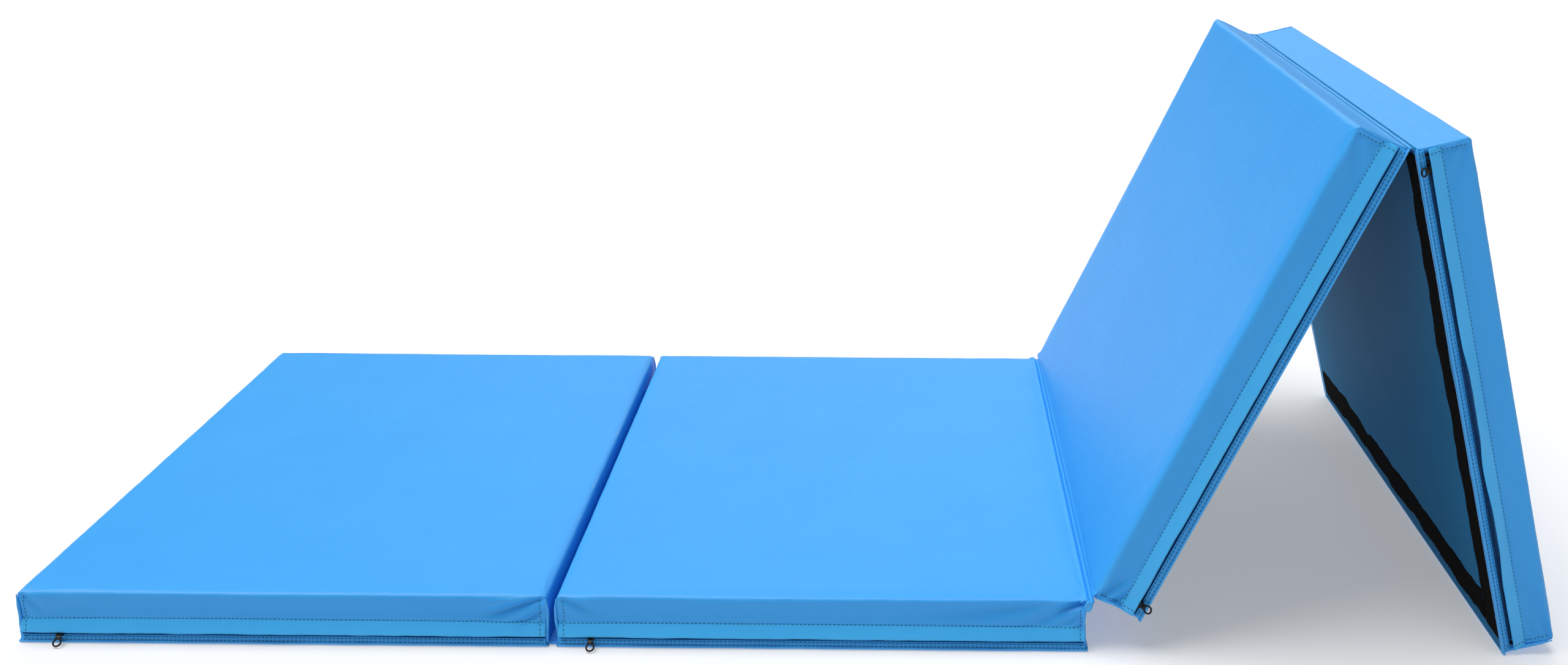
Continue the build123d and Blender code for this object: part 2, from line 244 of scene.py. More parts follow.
# ---- Drag wrinkles of each front wall ----
# A fold runs from a start to an end, as (distance along the panel, height), and is deepest near its start.
Fold = namedtuple("Fold", "start end width depth")
FRONT_FOLDS = {
    1: (
        Fold((449, 43), (386, 22), 4.5, 1.7),
        Fold((446, 31), (420, 12), 4.0, 0.9),
        Fold((6, 42), (26, 24), 3.5, 0.8),
    ),
    2: (
        Fold((449, 43), (398, 20), 5.5, 2.3),
        Fold((449, 43), (290, 30), 7.0, 1.3),
        Fold((447, 34), (416, 14), 4.0, 1.2),
        Fold((5, 43), (40, 28), 4.0, 1.0),
    ),
    3: (
        Fold((448, 41), (410, 27), 5.0, 0.9),
        Fold((6, 40), (42, 24), 4.5, 1.2),
        Fold((6, 28), (30, 10), 4.0, 0.9),
    ),
    4: (
        Fold((448, 42), (372, 24), 6.0, 1.5),
        Fold((447, 34), (402, 20), 4.5, 1.2),
        Fold((300, 38), (214, 24), 9.0, 0.7),
        Fold((6, 40), (38, 28), 4.0, 0.8),
    ),
}
FOLD_STRENGTH = 2.0
FOLD_OVERRUN = 0.15  # a fold fades out this share of its length beyond its two points
FOLD_RISE, FOLD_FALL = 0.25, 0.9  # shares of its length over which it deepens, and fades
FOLD_START_WIDTH, FOLD_WIDENING = 0.55, 0.75
FOLD_SHOULDER, FOLD_SHOULDER_AT = 0.45, 1.9  # share of its depth, and widths from its middle
# Stretches along a panel where its placket stands away from the skirt, as (start, end, how far).
PLACKET_GAPES = {
    1: ((150, 230, 0.5),),
    2: ((60, 150, 0.6), (300, 380, 0.4)),
    3: ((40, 140, 0.7), (250, 330, 0.5)),
    4: ((181, 262, 2.8), (303, 371, 2.6)),
}

# ---- Unevenness: how far it moves a surface, over what distance it changes, and its own seed ----
Ripple = namedtuple("Ripple", "amount length seed")
NOISE_STEP = 7.3  # distance between the layers of noise that two seeds read
WALL_WAVES = Ripple(0.5, 60.0, 0)
WALL_WRINKLES = Ripple(0.22, 17.0, 10)
REAR_WAVES = Ripple(0.7, 55.0, 20)
REAR_WRINKLES = Ripple(0.3, 16.0, 30)
END_WAVES = Ripple(0.4, 50.0, 40)
END_WRINKLES = Ripple(0.2, 14.0, 0)
EDGE_PUCKERS = Ripple(0.28, 11.0, 50)
TOP_WAVES = Ripple(0.22, 95.0, 60)
FLARE_WAVES = Ripple(0.55, 34.0, 70)
PLACKET_EDGE_WAVES = Ripple(0.5, 48.0, 80)
PLACKET_EDGE_WRINKLES = Ripple(0.15, 13.0, 0)
BELLY_WAVES = Ripple(1.0, 22.0, 90)
PLACKET_WRINKLES = Ripple(0.5, 12.0, 100)
SKIRT_EDGE_WAVES = Ripple(0.3, 40.0, 110)
SKIRT_WAVES = Ripple(0.35, 26.0, 120)
HEM_WAVES = Ripple(0.35, 30.0, 130)
REAR_BEAD_WAVES = Ripple(0.3, 30.0, 130)
BEAD_WOBBLE = Ripple(1.0, 13.0, 140)
SEAM_WAVES = Ripple(0.15, 30.0, 0)
CORNER_SEAM_WAVES = Ripple(0.7, 14.0, 150)
BASE_PUCKERS = Ripple(0.25, 9.0, 160)
BASE_WAVES = Ripple(0.3, 80.0, 170)
REAR_HEM_WAVES = Ripple(0.4, 35.0, 180)
REAR_HEM_BUMPS = Ripple(0.15, 25.0, 0)
TAPE_WAVES = Ripple(0.12, 8.0, 190)
STRIP_SWAY = Ripple(5.0, 55.0, 0)
STRIP_NARROWING = Ripple(3.0, 30.0, 1)
STRIP_FRAY = Ripple(0.6, 9.0, 2)
STRIP_TUFTS = Ripple(0.28, 1.9, 3)
STRIP_WAVES = Ripple(0.15, 30.0, 4)
STRIP_EDGES = Ripple(2.2, 17.0, 5)
LOW_FOLD_WAVES = Ripple(0.2, 30.0, 0)
TOP_FOLD_WAVES = Ripple(0.25, 40.0, 3)
GATHER_WRINKLES = Ripple(0.25, 5.0, 9)

# ---- Colours ----
VINYL_BLUE = (0.036, 0.375, 0.890, 1.0)
VINYL_DEEP = (0.029, 0.345, 0.850, 1.0)
# paler rubbed vinyl, also used as a painted highlight along the edges
VINYL_WORN_AND_LIT = (0.110, 0.490, 0.960, 1.0)
# Painted light: a lighter copy of the vinyl for the placket and the rear hem, standing in for the extra light
# they catch
FLAP_BLUE_LIT = (0.056, 0.480, 0.970, 1.0)
FLAP_DEEP_LIT = (0.048, 0.450, 0.950, 1.0)
# The underside vinyl is darker cloth, and part of its darkness is painted shade from the shadow under the
# raised panels
UNDER_BLUE_SHADED = (0.008, 0.175, 0.370, 1.0)
UNDER_DEEP_SHADED = (0.006, 0.155, 0.325, 1.0)
THREAD_BLUE = (0.008, 0.140, 0.280, 1.0)
TAPE_BLUE = (0.012, 0.120, 0.330, 1.0)
COIL_BLUE = (0.010, 0.090, 0.260, 1.0)
PULL_BLACK = (0.0018, 0.0018, 0.002, 1.0)
HOOK_BLACK = (0.0025, 0.002, 0.002, 1.0)
HOOK_GREY = (0.008, 0.007, 0.007, 1.0)
FOAM_WHITE = (0.74, 0.76, 0.75, 1.0)
FLOOR_WHITE = (0.62, 0.62, 0.62, 1.0)
FLOOR_GLOW = 0.32
THREAD_PALE = (0.015, 0.2, 0.36, 1.0)
TAPE_PALE = (0.02, 0.12, 0.34, 1.0)
COIL_DEEP = (0.015, 0.075, 0.22, 1.0)
PULL_WORN = (0.12, 0.12, 0.125, 1.0)
LINT_GREY = (0.03, 0.03, 0.032, 1.0)
FOAM_SHADE = (0.66, 0.68, 0.68, 1.0)
FLOOR_PALE = (0.64, 0.64, 0.64, 1.0)
WHITE = (1.0, 1.0, 1.0, 1.0)

# ---- Stage, light and camera, in metres and degrees ----
FLOOR_REACH, FLOOR_STEPS, FLOOR_DROP = 14.0, 8, 0.0006
CAMERA_PLACE = (0.068, -1.550, 0.709)
CAMERA_YAW = -0.376
CAMERA_PITCH = 15.328
CAMERA_ROLL = 0.322
CAMERA_LENS = 37.32
CAMERA_SHIFT = (-0.0703, -0.0636)
SENSOR_WIDTH = 36.0
KEY_FROM = (-0.30, 0.03, 0.95)  # mostly from above, a little from the left
KEY_STRENGTH = 2.65
KEY_SOFTNESS = 46.0
BACKDROP_FROM = (0.10, 0.80, 0.55)  # what a white backdrop behind the mat sends back
BACKDROP_STRENGTH = 0.45
BACKDROP_SOFTNESS = 52.0
ROOM_STRENGTH = 0.27


# ======== Where each panel stands ========
JOINTS = {joint["name"]: joint for joint in frame["joints"]}


def turned_up(pivot, angle):
    """The turn that lifts +X about a line along Y through pivot."""
    return Matrix.Translation(pivot) @ Matrix.Rotation(-angle, 4, "Y") @ Matrix.Translation(-pivot)


def panel_places():
    """Each panel's frame, in metres, in the stored pose."""
    pivot_23 = Vector(JOINTS["fold_23"]["pos_m"])
    pivot_34 = Vector(JOINTS["fold_34"]["pos_m"])
    raised = radians(-JOINTS["fold_23"]["range_deg"][0])
    folded = radians(-JOINTS["fold_34"]["range_deg"][0])
    left_1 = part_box("cover_1")[0][0]
    left_2, right_2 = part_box("cover_2")[0][0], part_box("cover_2")[1][0]
    left_3 = 2 * pivot_23.x - right_2
    raise_3 = turned_up(pivot_23, raised)
    pivot_34_flat = raise_3.inverted() @ pivot_34
    left_4 = 2 * pivot_34_flat.x - (left_3 + LENGTH * MM)
    lower_4 = raise_3 @ turned_up(pivot_34_flat, -folded)
    return {
        1: Matrix.Translation((left_1, 0, 0)),
        2: Matrix.Translation((left_2, 0, 0)),
        3: raise_3 @ Matrix.Translation((left_3, 0, 0)),
        4: lower_4 @ Matrix.Translation((left_4, 0, 0)),
    }


PLACES = panel_places()


# ======== Small mathematics ========
def smooth(t):
    """Rises smoothly from 0 at t = 0 to 1 at t = 1."""
    t = min(max(t, 0.0), 1.0)
    return t * t * (3 - 2 * t)


def between(start, end, count):
    """count + 1 evenly spaced values from start to end."""
    return [start + (end - start) * i / count for i in range(count + 1)]


def plateau(x, start, end, ramp):
    """1 between start and end, falling smoothly to 0 over ramp on each side."""
    return smooth((x - start) / ramp + 0.5) * smooth((end - x) / ramp + 0.5)


def bell(offset, width):
    """1 where offset is 0, fading over width on both sides."""
    return exp(-(offset / width) ** 2)


def ripple(kind, x, y, panel=0):
    """The unevenness of one kind at a point, in millimetres, different on each panel."""
    layer = (panel + kind.seed) * NOISE_STEP
    return kind.amount * noise.noise(Vector((x / kind.length, y / kind.length, layer)))


# ======== Making meshes ========
Shape = namedtuple("Shape", "points faces")


def grid_faces(rows, columns, first=0):
    """The quads of a rows by columns grid of points."""
    faces = []
    for row in range(rows - 1):
        for column in range(columns - 1):
            a = first + row * columns + column
            faces.append((a, a + 1, a + columns + 1, a + columns))
    return faces


def ring_faces(rings, sides, looped=False):
    """The quads between rings of points; looped joins the last ring to the first."""
    faces = []
    for ring in range(rings if looped else rings - 1):
        here, there = ring * sides, (ring + 1) % rings * sides
        for k in range(sides):
            after = (k + 1) % sides
            faces.append((here + k, here + after, there + after, there + k))
    return faces


def lofted(points, sides):
    """A closed shape through rings of points, with flat ends."""
    faces = ring_faces(len(points) // sides, sides)
    faces.append(tuple(range(sides)))
    faces.append(tuple(range(len(points) - sides, len(points))))
    return Shape(points, faces)


def closed_sheet(outer, inner):
    """A closed sheet between two grids of points, each a list of rows."""
    rows, columns = len(outer), len(outer[0])
    points = [p for row in outer for p in row] + [p for row in inner for p in row]
    second = rows * columns
    faces = grid_faces(rows, columns)
    faces += [tuple(reversed(face)) for face in grid_faces(rows, columns, second)]
    rim = [(0, c) for c in range(columns)]
    rim += [(r, columns - 1) for r in range(1, rows)]
    rim += [(rows - 1, c) for c in range(columns - 2, -1, -1)]
    rim += [(r, 0) for r in range(rows - 2, 0, -1)]
    for here, there in zip(rim, rim[1:] + rim[:1]):
        a = here[0] * columns + here[1]
        b = there[0] * columns + there[1]
        faces.append((b, a, second + a, second + b))
    return Shape(points, faces)


def sheet_along(lengths, profile, thickness, towards):
    """A closed sheet: profile(u) gives the outer line across it at u, and towards leads to its inner side."""
    outer = [[Vector(p) for p in profile(u)] for u in lengths]
    inner = [[p + towards * thickness for p in row] for row in outer]
    return closed_sheet(outer, inner)


def tube(path, radius, sides=BEAD_SIDES, looped=False):
    """A round tube along a path, with domed ends unless it is a loop. radius(i) is its radius at point i."""
    path = [Vector(p) for p in path]
    count = len(path)
    points, faces = [], ring_faces(count, sides, looped)
    side = None
    for i, here in enumerate(path):
        ahead = path[(i + 1) % count] if looped else path[min(i + 1, count - 1)]
        behind = path[i - 1] if looped else path[max(i - 1, 0)]
        along = (ahead - behind).normalized()
        if side is None:
            side = along.orthogonal().normalized()
        side = (side - along * side.dot(along)).normalized()
        up = along.cross(side)
        for k in range(sides):
            angle = 2 * pi * k / sides
            points.append(here + (side * cos(angle) + up * sin(angle)) * radius(i))
    if not looped:
        for ring, neighbour in ((0, 1), (count - 1, count - 2)):
            tip = path[ring] + (path[ring] - path[neighbour]).normalized() * radius(ring) * TUBE_DOME
            points.append(tip)
            for k in range(sides):
                a, b = ring * sides + k, ring * sides + (k + 1) % sides
                faces.append((b, a, len(points) - 1) if ring == 0 else (a, b, len(points) - 1))
    return Shape(points, faces)


def joined(shapes):
    """Several shapes as one."""
    points, faces = [], []
    for shape in shapes:
        first = len(points)
        points += shape.points
        faces += [tuple(first + i for i in face) for face in shape.faces]
    return Shape(points, faces)


def opened(shape):
    """A shape as a bmesh, to edit."""
    build = bmesh.new()
    vertices = [build.verts.new(p) for p in shape.points]
    for face in shape.faces:
        build.faces.new([vertices[i] for i in face])
    return build


def closed(build):
    """The shape that an edited bmesh holds."""
    build.verts.index_update()
    shape = Shape([v.co.copy() for v in build.verts], [tuple(v.index for v in f.verts) for f in build.faces])
    build.free()
    return shape


def linked(name, data):
    """A new object in the scene."""
    result = bpy.data.objects.new(name, data)
    bpy.context.scene.collection.objects.link(result)
    return result


def mesh_object(name, points, faces):
    """A mesh object with its faces turned outwards."""
    mesh = bpy.data.meshes.new(name)
    mesh.from_pydata(points, [], faces)
    build = bmesh.new()
    build.from_mesh(mesh)
    bmesh.ops.recalc_face_normals(build, faces=build.faces)
    build.to_mesh(mesh)
    build.free()
    return linked(name, mesh)


def make_object(name, shape, place, material, edge_wear=None):
    """A mesh object in the row frame. Its material reads each point's place in the panel, and its wear and
    painted edge highlight.
    """
    piece = mesh_object(name, [place @ (Vector(p) * MM) for p in shape.points], shape.faces)
    mesh = piece.data
    mesh.attributes.new("panel_point", "FLOAT_VECTOR", "POINT")
    mesh.attributes.new("edge_wear", "FLOAT", "POINT")
    places = [number for point in shape.points for number in point]
    mesh.attributes["panel_point"].data.foreach_set("vector", places)
    wear_and_highlight = [edge_wear(point) if edge_wear else 0.0 for point in shape.points]
    mesh.attributes["edge_wear"].data.foreach_set("value", wear_and_highlight)
    mesh.shade_smooth()
    mesh.materials.append(material)
    return piece


def panel_piece(name, panel, shape, material, replaced=None, edge_wear=None, body="panel"):
    """A piece of one panel, riding on it or on another body with its number, in place of a CAD node."""
    piece = make_object(f"{name}_{panel}", shape, PLACES[panel], material, edge_wear)
    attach(piece, f"{body}_{panel}")
    if replaced:
        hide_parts(f"{replaced}_{panel}")
    return piece


# ======== Materials ========
class Graph:
    """A material's nodes around one Principled shader."""

    def __init__(self, name):
        self.material = bpy.data.materials.new(name)
        self.material.use_nodes = True
        self.nodes = self.material.node_tree.nodes
        self.links = self.material.node_tree.links
        self.nodes.clear()
        output = self.nodes.new("ShaderNodeOutputMaterial")
        self.shader = self.nodes.new("ShaderNodeBsdfPrincipled")
        self.links.new(self.shader.outputs["BSDF"], output.inputs["Surface"])

    def put(self, socket, value):
        """Links a socket to another's output, or sets it."""
        if isinstance(value, bpy.types.NodeSocket):
            self.links.new(value, socket)
        else:
            socket.default_value = value

    def set(self, **values):
        """Sets the shader's own inputs, as base_color for Base Color."""
        names = {socket.name.lower().replace(" ", "_"): socket for socket in self.shader.inputs}
        for name, value in values.items():
            self.put(names[name], value)

    def add(self, kind, output, inputs=None, **settings):
        """One output of a new node, whose inputs and settings are given by name."""
        node = self.nodes.new("ShaderNode" + kind)
        for name, value in settings.items():
            setattr(node, name, value)
        for name, value in (inputs or {}).items():
            self.put(node.inputs[name], value)
        return node.outputs[output]

    def place(self):
        """Each point's place in its panel, in millimetres."""
        return self.add("Attribute", "Vector", attribute_name="panel_point")

    def object_place(self):
        """Each point's place in the row frame, in millimetres, for a piece kept from the CAD."""
        return self.scaled(self.add("TexCoord", "Object"), (1 / MM, 1 / MM, 1 / MM))

    def scaled(self, vector, factors):
        """A place stretched along each axis."""
        return self.add("Mapping", "Vector", {"Vector": vector, "Scale": factors})

    def wear_and_highlight(self):
        """How rubbed each point is, and how much highlight is painted there, from 0 to 1."""
        return self.add("Attribute", "Fac", attribute_name="edge_wear")

    def noise(self, place, size, detail=3.0, roughness=0.5):
        """Noise from 0 to 1 whose features are about size millimetres."""
        inputs = {"Vector": place, "Scale": 1 / size, "Detail": detail, "Roughness": roughness}
        return self.add("TexNoise", "Fac", inputs)

    def cells(self, place, size, feature="F1"):
        """Distance to the nearest of points about size millimetres apart."""
        return self.add("TexVoronoi", "Distance", {"Vector": place, "Scale": 1 / size}, feature=feature)

    def ribs(self, place, pitch, direction):
        """Parallel ribs pitch millimetres apart, across X, Y or Z."""
        inputs = {"Vector": place, "Scale": 2 * pi / (20 * pitch)}
        return self.add("TexWave", "Fac", inputs, bands_direction=direction, wave_profile="SIN")

    def math(self, operation, a, b):
        """One sum on two numbers."""
        return self.add("Math", "Value", {0: a, 1: b}, operation=operation)

    def ranged(self, value, low, high, to_low, to_high):
        """value from low..high carried to to_low..to_high, clamped."""
        inputs = {"Value": value, "From Min": low, "From Max": high, "To Min": to_low, "To Max": to_high}
        return self.add("MapRange", "Result", inputs)

    def bump(self, height, strength, depth, over=None):
        """A bump depth millimetres deep, laid over another one if given."""
        inputs = {"Height": height, "Strength": strength, "Distance": depth * MM}
        if over is not None:
            inputs["Normal"] = over
        return self.add("Bump", "Normal", inputs)

    def mixed(self, factor, first, second):
        """A colour from first to second."""
        node = self.nodes.new("ShaderNodeMix")
        node.data_type = "RGBA"
        inputs = [socket for socket in node.inputs if socket.type == "RGBA"]
        self.put(node.inputs["Factor"], factor)
        self.put(inputs[0], first)
        self.put(inputs[1], second)
        return next(socket for socket in node.outputs if socket.type == "RGBA")


def vinyl_material(name, base=VINYL_BLUE, deep=VINYL_DEEP, roughness=(0.40, 0.52), gloss=0.36):
    """Coated vinyl: fine leather grain, a satin sheen, faint mottling, and edges rubbed paler, which also
    paints a highlight along them.
    """
    g = Graph(name)
    place = g.place()
    mottle = g.noise(place, 70.0, detail=4.0)
    colour = g.mixed(g.ranged(mottle, 0.3, 0.7, 0.0, 0.55), base, deep)
    scuff = g.noise(place, 5.0, detail=5.0, roughness=0.65)
    # paler where rubbed; along the edges this also paints a highlight
    rubbed_and_highlit = g.math("MULTIPLY", g.wear_and_highlight(), g.ranged(scuff, 0.35, 0.65, 0.35, 1.0))
    colour = g.mixed(rubbed_and_highlit, colour, VINYL_WORN_AND_LIT)
    pebbles = g.cells(place, 1.1, "SMOOTH_F1")
    pores = g.noise(place, 0.45, detail=2.0)
    grain = g.bump(pebbles, 0.22, 0.12)
    grain = g.bump(pores, 0.12, 0.05, over=grain)
    dulled = g.math("ADD", g.ranged(scuff, 0.3, 0.7, *roughness), g.math("MULTIPLY", rubbed_and_highlit, 0.08))
    g.set(base_color=colour, roughness=dulled, normal=grain, specular_ior_level=gloss)
    g.set(coat_weight=0.03, coat_roughness=0.35)
    return g.material


def thread_material():
    """Twisted sewing thread, darker than the vinyl."""
    g = Graph("thread")
    place = g.place()
    twist = g.ribs(g.scaled(place, (1.0, 1.0, 0.8)), 0.45, "DIAGONAL")
    fibres = g.noise(place, 0.3)
    colour = g.mixed(g.ranged(fibres, 0.3, 0.7, 0.0, 0.5), THREAD_BLUE, THREAD_PALE)
    g.set(base_color=colour, roughness=g.ranged(fibres, 0.2, 0.8, 0.55, 0.8), normal=g.bump(twist, 0.5, 0.08))
    g.set(sheen_weight=0.3, sheen_roughness=0.4, specular_ior_level=0.3)
    return g.material


def tape_material():
    """Woven zipper tape: a fine herringbone of ribs."""
    g = Graph("zipper_tape_weave")
    place = g.place()
    warp = g.ribs(place, 0.7, "Z")
    weft = g.ribs(place, 0.55, "X")
    weave = g.math("MAXIMUM", warp, weft)
    fuzz = g.noise(place, 0.6, detail=4.0)
    colour = g.mixed(g.math("MULTIPLY", weave, fuzz), TAPE_BLUE, TAPE_PALE)
    g.set(base_color=colour, roughness=g.ranged(fuzz, 0.2, 0.8, 0.7, 0.92), normal=g.bump(weave, 0.5, 0.12))
    g.set(sheen_weight=0.35, sheen_roughness=0.5)
    return g.material


def coil_material():
    """Dyed nylon, smooth, with faint moulding streaks."""
    g = Graph("zipper_coil_nylon")
    place = g.place()
    streaks = g.noise(g.scaled(place, (3.0, 1.0, 0.6)), 1.2)
    colour = g.mixed(g.ranged(streaks, 0.3, 0.7, 0.0, 1.0), COIL_BLUE, COIL_DEEP)
    g.set(base_color=colour, roughness=g.ranged(streaks, 0.2, 0.8, 0.28, 0.42))
    g.set(normal=g.bump(streaks, 0.1, 0.05), specular_ior_level=0.5)
    return g.material


def enamel_material(name, from_cad):
    """Black stove enamel on the zipper's metal, rubbed to grey in specks."""
    g = Graph(name)
    place = g.object_place() if from_cad else g.place()
    orange_peel = g.noise(place, 0.9, detail=2.0)
    specks = g.ranged(g.noise(place, 1.6, detail=6.0, roughness=0.7), 0.70, 0.80, 0.0, 0.25)
    rubbed_and_highlit = g.math("MAXIMUM", specks, g.math("MULTIPLY", g.wear_and_highlight(), 0.5))
    g.set(base_color=g.mixed(rubbed_and_highlit, PULL_BLACK, PULL_WORN))
    g.set(roughness=g.ranged(rubbed_and_highlit, 0.0, 0.5, 0.34, 0.46), metallic=g.math("MULTIPLY", rubbed_and_highlit, 0.8))
    g.set(normal=g.bump(orange_peel, 0.1, 0.06), specular_ior_level=0.22)
    g.set(coat_weight=0.05, coat_roughness=0.25)
    return g.material


def hook_material():
    """Black hook-and-loop strip: rows of tiny hooks over a woven ground."""
    g = Graph("hook_and_loop_pile")
    place = g.place()
    hooks = g.cells(place, 1.3)
    fuzz = g.noise(place, 0.7, detail=6.0, roughness=0.7)
    pile = g.math("ADD", hooks, g.math("MULTIPLY", fuzz, 0.8))
    lint = g.ranged(g.noise(place, 6.0, detail=8.0, roughness=0.75), 0.66, 0.78, 0.0, 0.6)
    colour = g.mixed(g.ranged(fuzz, 0.35, 0.75, 0.0, 1.0), HOOK_BLACK, HOOK_GREY)
    colour = g.mixed(lint, colour, LINT_GREY)
    g.set(base_color=colour, roughness=g.ranged(fuzz, 0.2, 0.8, 0.85, 0.98), normal=g.bump(pile, 0.8, 0.5))
    g.set(specular_ior_level=0.03)
    return g.material


def foam_material():
    """Pale closed-cell foam."""
    g = Graph("foam_cells")
    place = g.object_place()
    cells = g.cells(place, 1.4)
    shade = g.noise(place, 25.0, detail=3.0)
    colour = g.mixed(g.ranged(shade, 0.3, 0.7, 0.0, 1.0), FOAM_WHITE, FOAM_SHADE)
    g.set(base_color=colour, roughness=g.ranged(cells, 0.0, 0.8, 0.8, 0.95), normal=g.bump(cells, 0.6, 0.3))
    return g.material


def floor_material():
    """A white table lit from within, which is how a cut-out product picture loses its shadows."""
    g = Graph("studio_floor")
    place = g.object_place()
    shade = g.noise(place, 900.0, detail=2.0)
    g.set(base_color=g.mixed(shade, FLOOR_WHITE, FLOOR_PALE), roughness=0.9)
    g.set(specular_ior_level=0.1, emission_color=WHITE, emission_strength=FLOOR_GLOW)
    return g.material


VINYL = vinyl_material("vinyl_cover")
# the same vinyl made lighter: painted light on the placket and the rear hem
VINYL_LIT = vinyl_material("vinyl_flap", FLAP_BLUE_LIT, FLAP_DEEP_LIT, roughness=(0.36, 0.48))
# darker, duller underside vinyl; part of the darkness is painted shade
VINYL_DULL_SHADED = vinyl_material("vinyl_underside", UNDER_BLUE_SHADED, UNDER_DEEP_SHADED, roughness=(0.62, 0.74), gloss=0.05)
THREAD = thread_material()
TAPE = tape_material()
COIL = coil_material()
ENAMEL = enamel_material("black_enamel", from_cad=False)
ENAMEL_CAD = enamel_material("black_enamel_slider", from_cad=True)
HOOKS = hook_material()
FOAM = foam_material()


# ======== The stuffed cover ========
def spaced(length, fine, fine_until, coarse):
    """Grid lines from 0 to length: close together at both ends and wider between."""
    start = [0.0, EDGE_RADIUS / 3, EDGE_RADIUS * 2 / 3, EDGE_RADIUS]
    start += [EDGE_RADIUS + fine * i for i in range(1, ceil((fine_until - EDGE_RADIUS) / fine))]
    middle = between(start[-1], length - start[-1], round((length - 2 * start[-1]) / coarse))
    return start[:-1] + middle + [length - x for x in reversed(start[:-1])]


def softened(point, left, right):
    """A point of the plain box moved onto the box with its upper edges and corners rounded."""
    u, y, z = point
    over_u = min(u - left, 0) / left + max(u - (LENGTH - right), 0) / right
    over_y = (min(y + HALF_WIDTH - EDGE_RADIUS, 0) + max(y - HALF_WIDTH + EDGE_RADIUS, 0)) / EDGE_RADIUS
    over_z = max(z - (THICKNESS - EDGE_RADIUS), 0) / EDGE_RADIUS
    size = sum(abs(over) ** EDGE_POWER for over in (over_u, over_y, over_z)) ** (1 / EDGE_POWER)
    if size == 0:
        return Vector(point)
    shrink = 1 - 1 / size
    radius_u = left if over_u < 0 else right
    return Vector((
        u - over_u * shrink * radius_u,
        y - over_y * shrink * EDGE_RADIUS,
        z - over_z * shrink * EDGE_RADIUS,
    ))


def zip_recess(u, z):
    """How far the front wall stands back behind the zipper."""
    if z >= COVER_LIP:
        return 0.0
    return ZIP_RECESS * smooth(min(u, LENGTH - u) / ZIP_RECESS_RAMP)


def cover_quads(last):
    """The quads of a box of grid points that is open below, as (i, j, k) places; last is its far corner."""
    quads = []
    for i in range(last[0]):
        for j in range(last[1]):
            quads.append(((i, j, last[2]), (i + 1, j, last[2]), (i + 1, j + 1, last[2]), (i, j + 1, last[2])))
    for k in range(last[2]):
        for j in (0, last[1]):
            for i in range(last[0]):
                quads.append(((i, j, k), (i + 1, j, k), (i + 1, j, k + 1), (i, j, k + 1)))
        for i in (0, last[0]):
            for j in range(last[1]):
                quads.append(((i, j, k), (i, j + 1, k), (i, j + 1, k + 1), (i, j, k + 1)))
    return quads


def cover_draft(left, right):
    """The cover before it is stuffed, and which of its points are sewn down."""
    along = spaced(LENGTH, *GRID_ALONG)
    across = [y - HALF_WIDTH for y in spaced(WIDTH, *GRID_ACROSS)]
    last = (len(along) - 1, len(across) - 1, len(COVER_ROWS) - 1)
    index, points, sewn = {}, [], []
    for i, u in enumerate(along):
        for j, y in enumerate(across):
            on_side = i in (0, last[0]) or j in (0, last[1])
            for k, z in enumerate(COVER_ROWS):
                if not (on_side or k == last[2]):
                    continue
                index[i, j, k] = len(points)
                point = softened((u, y, z), left, right)
                if j == 0:
                    point.y += zip_recess(u, z)
                points.append(point)
                corner = i in (0, last[0]) and j in (0, last[1])
                sewn.append(k == 0 or corner or (j == 0 and z <= COVER_LIP))
    faces = [tuple(index[place] for place in quad) for quad in cover_quads(last)]
    return Shape(points, faces), sewn


def draft_object(shape):
    """A throwaway mesh object, in metres."""
    return mesh_object("draft", [p * MM for p in shape.points], shape.faces)


def evaluated_shape(draft):
    """The draft's mesh after its modifiers, in millimetres."""
    result = draft.evaluated_get(bpy.context.evaluated_depsgraph_get()).to_mesh()
    points = [v.co / MM for v in result.vertices]
    faces = [tuple(face.vertices) for face in result.polygons]
    return Shape(points, faces)


def drop(draft):
    """Deletes a draft and its mesh."""
    mesh = draft.data
    bpy.data.objects.remove(draft)
    bpy.data.meshes.remove(mesh)


def stuffed(shape, sewn):
    """How far each point of the cover moves when cloth under pressure swells it between its seams."""
    draft = draft_object(shape)
    seams = draft.vertex_groups.new(name="seams")
    seams.add([i for i, held in enumerate(sewn) if held], 1.0, "REPLACE")
    cloth = draft.modifiers.new("cloth", "CLOTH")
    cloth.settings.vertex_group_mass = seams.name
    cloth.settings.use_pressure = True
    cloth.settings.uniform_pressure_force = PRESSURE
    cloth.settings.effector_weights.gravity = 0.0
    cloth.settings.quality = CLOTH_QUALITY
    for number in range(1, CLOTH_FRAMES + 1):
        bpy.context.scene.frame_set(number)
    swollen = evaluated_shape(draft)
    drop(draft)
    bpy.context.scene.frame_set(1)
    moves = [after - before for after, before in zip(swollen.points, shape.points)]
    return [move * (CROWN / max(move.length, CROWN)) for move in moves]


def subdivided(shape):
    """The cover with one subdivision, then closed below with a flat face."""
    draft = draft_object(shape)
    draft.modifiers.new("smooth", "SUBSURF").levels = 1
    build = opened(evaluated_shape(draft))
    drop(draft)
    rim = [edge for edge in build.edges if edge.is_boundary]
    bmesh.ops.holes_fill(build, edges=rim, sides=0)
    return closed(build)


def fold_depth(fold, u, z):
    """How deep a fold is at a point of the front wall; its shoulders stand slightly proud."""
    here = Vector((u, z)) - Vector(fold.start)
    along = Vector(fold.end) - Vector(fold.start)
    share = here.dot(along) / along.length_squared
    if not -FOLD_OVERRUN < share < 1 + FOLD_OVERRUN:
        return 0.0
    width = fold.width * (FOLD_START_WIDTH + FOLD_WIDENING * max(share, 0))
    off = (here - along * share).length / width
    fade = smooth((share + FOLD_OVERRUN) / FOLD_RISE) * (1 - smooth((share - FOLD_RISE) / FOLD_FALL))
    return fold.depth * fade * (bell(off, 1) - FOLD_SHOULDER * bell(off - FOLD_SHOULDER_AT, 1))


